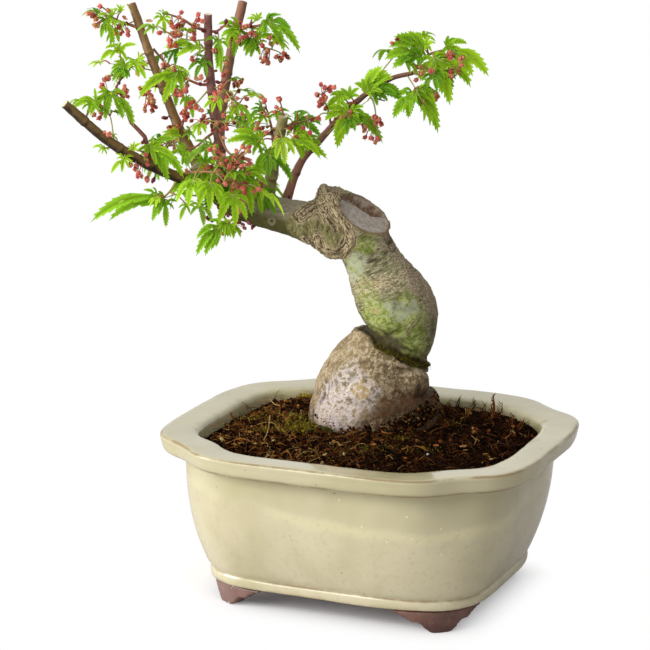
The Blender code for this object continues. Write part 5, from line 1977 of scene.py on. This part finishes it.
# %% Leaves by rule
SPRAYS = {
    # pairs of leaves, leaf length, flowers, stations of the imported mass
    "leaves_top_left": (1, 7.0, 3, (
        (-99.0, 22.0, 231.0, 2.4), (-106.5, 19.5, 229.0, 7.0), (-114.6, 18.0, 234.2, 2.2))),
    "leaves_left_upper": (1, 7.0, 2, (
        (-92.6, 14.5, 211.0, 2.6), (-103.0, 10.0, 213.6, 8.6), (-114.4, 6.0, 215.4, 2.2))),
    "leaves_left_lower": (1, 7.5, 3, (
        (-106.4, -18.0, 186.4, 2.4), (-109.4, -14.0, 198.6, 8.8), (-121.0, -10.0, 202.6, 2.2))),
    "leaves_behind_upper_left": (3, 7.5, 5, (
        (-92.6, 20.4, 219.0, 2.6), (-87.4, 30.0, 210.4, 8.0), (-82.5, 31.0, 203.0, 7.6),
        (-79.0, 26.0, 197.0, 2.6))),
    "leaves_top_middle": (1, 7.0, 3, (
        (-67.6, -9.0, 226.6, 2.4), (-78.0, -14.0, 227.4, 8.4), (-90.4, -17.0, 233.0, 2.0))),
    "leaves_top_right": (1, 8.0, 4, (
        (-60.0, 20.4, 227.0, 2.6), (-50.6, 18.0, 225.0, 6.0), (-43.0, 15.0, 223.8, 2.0))),
    "leaves_centre": (5, 11.0, 6, (
        (-80.6, -9.6, 172.4, 2.8), (-66.6, -22.0, 175.0, 11.0), (-54.6, -22.0, 170.0, 9.8),
        (-46.0, -18.0, 168.0, 3.2))),
    "leaves_low_left": (1, 6.5, 0, (
        (-74.4, -9.0, 163.0, 2.2), (-80.0, -15.0, 165.0, 4.0), (-86.0, -20.0, 164.4, 4.0),
        (-90.0, -22.0, 163.0, 1.8))),
    "leaves_low_middle": (1, 6.0, 2, (
        (-55.4, -5.0, 152.6, 2.0), (-60.0, -9.0, 150.4, 3.6), (-65.0, -12.0, 148.0, 1.6))),
    "leaves_round_stub": (2, 9.0, 5, (
        (-50.4, -8.0, 186.4, 2.4), (-41.0, -14.0, 191.0, 9.0), (-29.6, -13.0, 194.4, 8.4),
        (-18.8, -6.0, 196.6, 2.0))),
    "leaves_right_middle": (1, 8.0, 3, (
        (-22.6, 9.0, 184.2, 2.4), (-11.8, 6.0, 194.4, 8.0), (0.8, 8.0, 203.0, 2.0))),
    "leaves_far_right": (1, 8.0, 0, (
        (-1.6, 14.0, 207.0, 2.0), (8.6, 17.6, 218.4, 7.4), (20.0, 22.0, 225.2, 2.2))),
    "leaves_right_tip": (1, 7.0, 3, (
        (12.8, 14.9, 209.8, 2.4), (24.0, 12.0, 212.0, 5.8), (33.0, 12.0, 211.0, 1.8))),
    "leaves_right_drop": (1, 7.0, 0, (
        (12.0, 12.4, 209.0, 2.0), (16.0, 6.0, 203.0, 4.0), (19.0, 2.0, 197.0, 1.8))),
    "leaves_fork": (1, 7.5, 5, (
        (-79.4, 2.0, 187.4, 2.4), (-72.0, -7.0, 193.4, 6.8), (-61.0, -11.0, 193.4, 6.2),
        (-54.6, -12.0, 195.0, 2.2))),
    "leaves_behind_left": (4, 11.0, 6, (
        (-80.0, 4.6, 184.0, 2.4), (-87.0, 22.0, 179.0, 9.6), (-92.0, 41.0, 170.0, 2.4))),
    "leaves_behind_middle": (4, 9.0, 6, (
        (-63.4, 8.0, 200.6, 2.4), (-60.0, 28.0, 197.0, 11.6), (-56.0, 50.0, 186.0, 2.6))),
    "leaves_behind_low": (5, 11.0, 6, (
        (-54.0, 2.2, 158.4, 2.4), (-52.0, 20.0, 164.0, 10.6), (-46.0, 40.0, 158.0, 2.4))),
    "leaves_front_upper": (1, 6.0, 4, (
        (-66.6, -6.6, 207.0, 2.2), (-62.0, -22.0, 208.4, 8.0), (-56.0, -38.0, 202.0, 2.0))),
}
# A mass is drawn as rows along its line; its shoot takes most of them and bears leaves and flowers on some
MASS_ROWS = 25
SHOOT_ROWS = 20
FIRST_LEAF_ROW = 5
FIRST_FLOWER_ROW = 8
rand = random.Random(58)
flower_roots = []


def spray(stations, pairs, length, flowers):
    """A shoot along a mass, with pairs of leaves at its nodes."""
    rows = smooth_rows(stations, MASS_ROWS)
    line = [Vector(row[:3]) for row in rows[:SHOOT_ROWS]]
    last = SHOOT_ROWS - 1
    if pairs > 1:
        twigs.stalk(line, 1.1, 0.5, rand.choice((0, 1, 1)), 7)
    else:
        twigs.stalk(line, 0.7, 0.35, 2, 6)
    for pair in range(pairs + 1):
        share = min((pair + 0.5) / (pairs + 0.5), 1.0)
        at = FIRST_LEAF_ROW + round((last - FIRST_LEAF_ROW) * share)
        node = line[at]
        ahead = (line[at] - line[at - 1]).normalized()
        side = ahead.cross(Vector((0, 0, 1))).normalized()
        turn = Matrix.Rotation(math.radians(rand.uniform(20, 50) + 90 * (pair % 2)), 3, ahead)
        ways = [turn @ side, -(turn @ side)] if pair < pairs else [ahead]
        for way in ways:
            reach = rows[at][3] * rand.uniform(0.35, 0.7)
            foot_spot = node + way * reach + ahead * 1.5 + Vector((0, 0, rand.uniform(-0.5, 1.0)))
            twigs.stalk(arc(node, foot_spot, (0, 0, 1.0), 5), 0.7, 0.45, rand.choice(STALK_SLOTS), 5)
            heading = way + ahead * 0.4 + Vector((0, 0, rand.uniform(-0.9, -0.1)))
            size = length * rand.uniform(0.75, 1.15)
            tone = pick(LEAF_SHARES)
            lift = Vector((rand.uniform(-0.3, 0.3), rand.uniform(-0.5, 0.2), 1.0))
            spread, droop = rand.uniform(0.75, 1.0), rand.uniform(0.1, 0.5)
            open_leaf(foot_spot, heading, lift, size, tone, spread, droop)
    for _ in range(flowers):
        flower_roots.append(line[rand.randrange(FIRST_FLOWER_ROW, SHOOT_ROWS)] + Vector((0, 0, 0.3)))


for pairs, length, flowers, stations in SPRAYS.values():
    spray(stations, pairs, length, flowers)
print("leaf faces", len(leaves.faces), "twig faces", len(twigs.faces))

# %% [markdown]
# ## Flowers and buds
# Small crimson and orange flowers hang on thin stalks beside the leaves, and dark buds sit in pairs on the
# nodes between pinkish scales that have opened and bent back.

# %% Flowers
FLOWER_COLOURS = (
    (0.54, 0.10, 0.085), (0.64, 0.20, 0.16), (0.66, 0.32, 0.17), (0.28, 0.03, 0.025), (0.56, 0.40, 0.14))
FLOWER_SHARES = (30, 30, 18, 14, 8)
BUD_COLOUR = (0.15, 0.012, 0.02)
SCALE_COLOURS = ((0.36, 0.10, 0.06), (0.46, 0.22, 0.10))
SEEN_FLOWERS = (
    (100.7, 6), (93, 13), (96.4, 19), (96, 26), (179, 17), (171, 22), (177, 26), (182.5, 29), (175, 33.6),
    (179, 34.5), (193, 28), (194, 33.6), (197.7, 20), (192, 59.4), (201.4, 77.5), (173.9, 69.8),
    (142, 68), (108.4, 79), (102.4, 84.8), (126, 91), (142.9, 94), (150.6, 95.6), (144.6, 108.5),
    (149.8, 101), (153, 105), (155.8, 107), (173.9, 92), (177.3, 95.6), (186, 89.6), (183.8, 91.3),
    (189, 103.4), (186, 107.7), (184, 112), (187.7, 116.3), (196.3, 107.7), (236.3, 38.8), (242.4, 41.3),
    (240.6, 44), (250, 33.6), (273.4, 42.2), (266.5, 52.5), (260.5, 57.7), (264.8, 59.4), (269, 62),
    (285, 54.3), (281, 59.4), (283, 56.8), (233.8, 83.5), (240.6, 81.8), (238, 85.3), (264.8, 100.8),
    (279.5, 99.5), (262.2, 110.3), (277, 107.5), (290.6, 129.3), (293, 124), (216.5, 150.8), (213, 163.7),
    (237, 165.5), (232, 170.6), (244, 168), (250, 163), (239, 156.8), (246.6, 149), (224.3, 206.8),
    (239.8, 209.4), (242.3, 200.8), (324.5, 87.7), (329.6, 87.7), (317.6, 95.5), (319.3, 101.5),
    (322.7, 104), (325.3, 99.8), (373.5, 117), (377.9, 120.4), (380.4, 123), (365, 128.2), (365.8, 136.8),
    (370, 137.7), (377, 137.7), (429.4, 91.8), (430.3, 96), (436.3, 93.5), (436.3, 96), (450, 52.2),
    (451.8, 54.8), (459.6, 58.2), (462, 65), (451, 72), (450, 74.6), (397, 39.3), (108.6, 134),
    (131, 165), (135, 169), (139, 173), (147, 179), (147, 160), (143, 66), (164, 64), (216, 51),
    (226, 71), (240, 22), (245, 26), (251, 33), (118, 92), (123, 96), (126, 90), (170, 130), (178, 128),
    (245, 127), (187, 172), (196, 170), (214, 190), (262, 128), (206, 124))
FRONT_FLOWERS = (
    (211, 150), (215, 147), (219, 152), (223, 156), (214, 158), (226, 161), (221, 164), (229, 166),
    (235, 168), (241, 168), (233, 161), (238, 162), (245, 165), (249, 163), (243, 158), (247, 151),
    (243, 147), (236, 151))
FRONT_STALK = (229, 172)
FRONT_DEPTH = -30.0
# How wide a flower is, in millimetres, and how far its neighbours sway from it, in pixels
FLOWER_SIZE = 2.15
FLOWER_SWAY = 2.7
FRONT_SIZE = 1.9
FRONT_SWAY = 1.6
SEEN_BUDS = (
    (127, 24), (145.5, 25.8), (203.2, 31), (216, 32.7), (226, 22.4), (251, 25.8), (218.7, 82.7),
    (225, 83.5), (200, 84.4), (204, 119.7), (212.2, 127.5), (226.9, 124), (155.6, 86), (164, 68),
    (166, 118), (183.4, 121), (143, 142), (154, 179), (119, 83), (271.6, 132.7), (288, 143), (256, 182.7),
    (208.8, 219.7), (255.3, 224), (288.9, 197.3), (307, 150), (375, 98), (207, 218), (212, 221),
    (236, 222), (242, 224), (248, 222), (253, 226), (228, 216), (233, 211), (219, 208), (244, 213))
SEEN_SCALES = (
    (110, 20), (123, 18), (149, 21.5), (186, 80), (195, 80), (199, 27), (200.6, 112), (216, 72),
    (243, 30), (206, 82), (300, 138), (351, 104), (268, 128), (160, 80), (247, 160), (216, 145),
    (418, 68), (222, 138))
PETAL_POINTS = 5


def flower(spot, aim, size, slot):
    """A small bell with its mouth along aim, and five short petals bent out round the mouth."""
    aim = aim.normalized()
    turn = aim.to_track_quat("Z", "Y").to_matrix() @ Matrix.Diagonal((0.46 * size, 0.46 * size, 0.5 * size))
    blossom.add([spot + turn @ (p * rand.uniform(0.85, 1.15)) for p in LUMP_POINTS], LUMP_FACES, slot)
    side = aim.orthogonal().normalized()
    other = aim.cross(side)
    mouth = spot + aim * size * 0.3
    for k in range(PETAL_POINTS):
        turn = 2 * math.pi * k / PETAL_POINTS + rand.uniform(-0.2, 0.2)
        out = side * math.cos(turn) + other * math.sin(turn)
        edge = aim.cross(out)
        reach = size * rand.uniform(0.34, 0.5)
        petal = [
            mouth + out * size * 0.12,
            mouth + out * reach * 0.7 + edge * size * 0.24 + aim * size * 0.1,
            mouth + out * reach + aim * size * rand.uniform(-0.1, 0.25),
            mouth + out * reach * 0.7 - edge * size * 0.24 + aim * size * 0.1]
        blossom.add(petal, [(0, 1, 2, 3)], (slot + 1) % len(FLOWER_COLOURS))


def hanging_flower(root, spot, size=FLOWER_SIZE):
    """A flower at a spot, on a thin stalk from its root."""
    stem_slot = rand.choice((2, 2, 3))
    if (root - spot).length > 0.8:
        twigs.stalk(arc(root, spot, (0, 0, 0.7), 4), 0.42, 0.34, stem_slot, 4)
    aim = (spot - root) + Vector((rand.gauss(0, 0.6), rand.gauss(0, 0.6), -0.8))
    flower(spot, aim, size * rand.uniform(0.75, 1.2), pick(FLOWER_SHARES))


def bud(root, aim, size, slot):
    """A pointed bud, standing on its root."""
    turn = aim.normalized().to_track_quat("Z", "Y").to_matrix()
    shape = Matrix.Diagonal((0.42 * size, 0.42 * size, 0.8 * size))
    lift = Vector((0, 0, 0.6 * size))
    blossom.add([root + turn @ (shape @ p + lift) for p in LUMP_POINTS], LUMP_FACES, slot)


def scale(root, aim, length, slot):
    """A bud scale bent back into a narrow strap."""
    aim = aim.normalized()
    side = aim.cross(Vector((0, -1, 0.3))).normalized() * 0.55
    points = []
    for k in range(5):
        share = k / 4
        middle = root + aim * length * share - Vector((0, 0, 1)) * length * 0.45 * share * share
        width = 0.55 + 0.9 * math.sin(math.pi * min(share + 0.15, 1.0))
        points += [middle - side * width, middle + side * width]
    blossom.add(points, [(2 * k, 2 * k + 1, 2 * k + 3, 2 * k + 2) for k in range(4)], slot)


rand = random.Random(71)
blossom = Heap()
bud_slot = len(FLOWER_COLOURS)
for x, y in SEEN_FLOWERS:
    root = nearest_limb(x, y)
    for k in range(3):
        sideways = rand.gauss(0, FLOWER_SWAY) * min(k, 1)
        upwards = rand.gauss(0, FLOWER_SWAY) * min(k, 1)
        hanging_flower(root, seen(x + sideways, y + upwards, root.y + rand.uniform(-5.0, -1.5)))
front_root = seen(*FRONT_STALK, FRONT_DEPTH + 3)
twigs.stalk(arc(nearest_limb(*FRONT_STALK), front_root, (0, 0, 2.5), 8), 1.0, 0.6, 2, 6)
for x, y in FRONT_FLOWERS:
    for k in range(2):
        sideways, upwards = rand.gauss(0, FRONT_SWAY) * k, rand.gauss(0, FRONT_SWAY) * k
        spot = seen(x + sideways, y + upwards, FRONT_DEPTH + rand.uniform(-2, 2))
        hanging_flower(front_root, spot, FRONT_SIZE)
for root in flower_roots:
    for _ in range(rand.randint(2, 4)):
        spot = root + Vector((rand.gauss(0, 3.0), rand.gauss(0, 3.0), rand.uniform(-5.0, 1.0)))
        hanging_flower(root, spot)
for x, y in SEEN_BUDS:
    root = nearest_limb(x, y)
    spot = seen(x, y, root.y - 1.5)
    if (spot - root).length > 2.2:
        twigs.stalk(arc(root, spot, (0, 0, 0.4), 4), 0.8, 0.55, 0, 5)
    aim = (spot - root) + Vector((rand.uniform(-0.5, 0.5), -0.3, 1.4))
    bud(spot - aim.normalized() * 0.8, aim, rand.uniform(1.5, 2.3), bud_slot)
for x, y in SEEN_SCALES:
    root = nearest_limb(x, y)
    spot = seen(x, y, root.y - 2.0)
    for _ in range(2):
        aim = Vector((rand.uniform(-1, 1), rand.uniform(-0.8, 0.2), rand.uniform(0.1, 1)))
        scale(spot, aim, rand.uniform(1.8, 3.2), bud_slot + 1 + rand.randrange(2))


def leaf_finish(name, colour):
    """A thin leaf that lets some light through, mottled a little lighter and darker."""
    made = Finish(name, colour, 0.5)
    spot = made.tree_place()
    crinkle = made.grain(spot, 0.8, 3.0, 0.6)
    broad = made.grain(spot, 0.12, 2.0, 0.5)
    edge = made.noted("share")
    dark = tuple(c * 0.5 for c in colour)
    light = tuple(min(c * 1.35 + 0.02, 1.0) for c in colour)
    tone = made.step(edge * 0.9 + broad * 0.5 + crinkle * 0.25, 0.35, 1.15)
    made.set(**{"Base Color": made.mix(dark, light, tone), "Roughness": 0.42 + crinkle * 0.2})
    made.set(**{"Specular IOR Level": 0.06})
    made.raise_surface(crinkle, 0.3, 0.5)
    thin = made.node("BsdfTranslucent", {}, {"Color": tuple(min(c * 1.5, 1.0) for c in colour)})
    share = made.node("MixShader", {}, {0: 0.35, 1: Value(made, made.shader.outputs[0]), 2: thin})
    made.tree.links.new(share.socket, made.tree.nodes["Material Output"].inputs["Surface"])
    return made


leaf_finishes = [leaf_finish("leaf_%d" % k, colour) for k, colour in enumerate((*LEAF_COLOURS, VEIN_COLOUR))]
twig_finishes = plain_finishes("shoot", SHOOT_COLOURS, 0.5, 1.2)
flower_finishes = [leaf_finish("petal_%d" % k, colour) for k, colour in enumerate(FLOWER_COLOURS)]
flower_finishes += [plain_finish("bud", BUD_COLOUR, 0.4), *plain_finishes("scale", SCALE_COLOURS, 0.5)]
hand_in(leaves.make("maple_leaves", leaf_finishes, False), "leaves", *SPRAYS)
hand_in(twigs.make("maple_shoots", twig_finishes), "young_bark")
hand_in(blossom.make("maple_flowers", flower_finishes, False), "leaves")
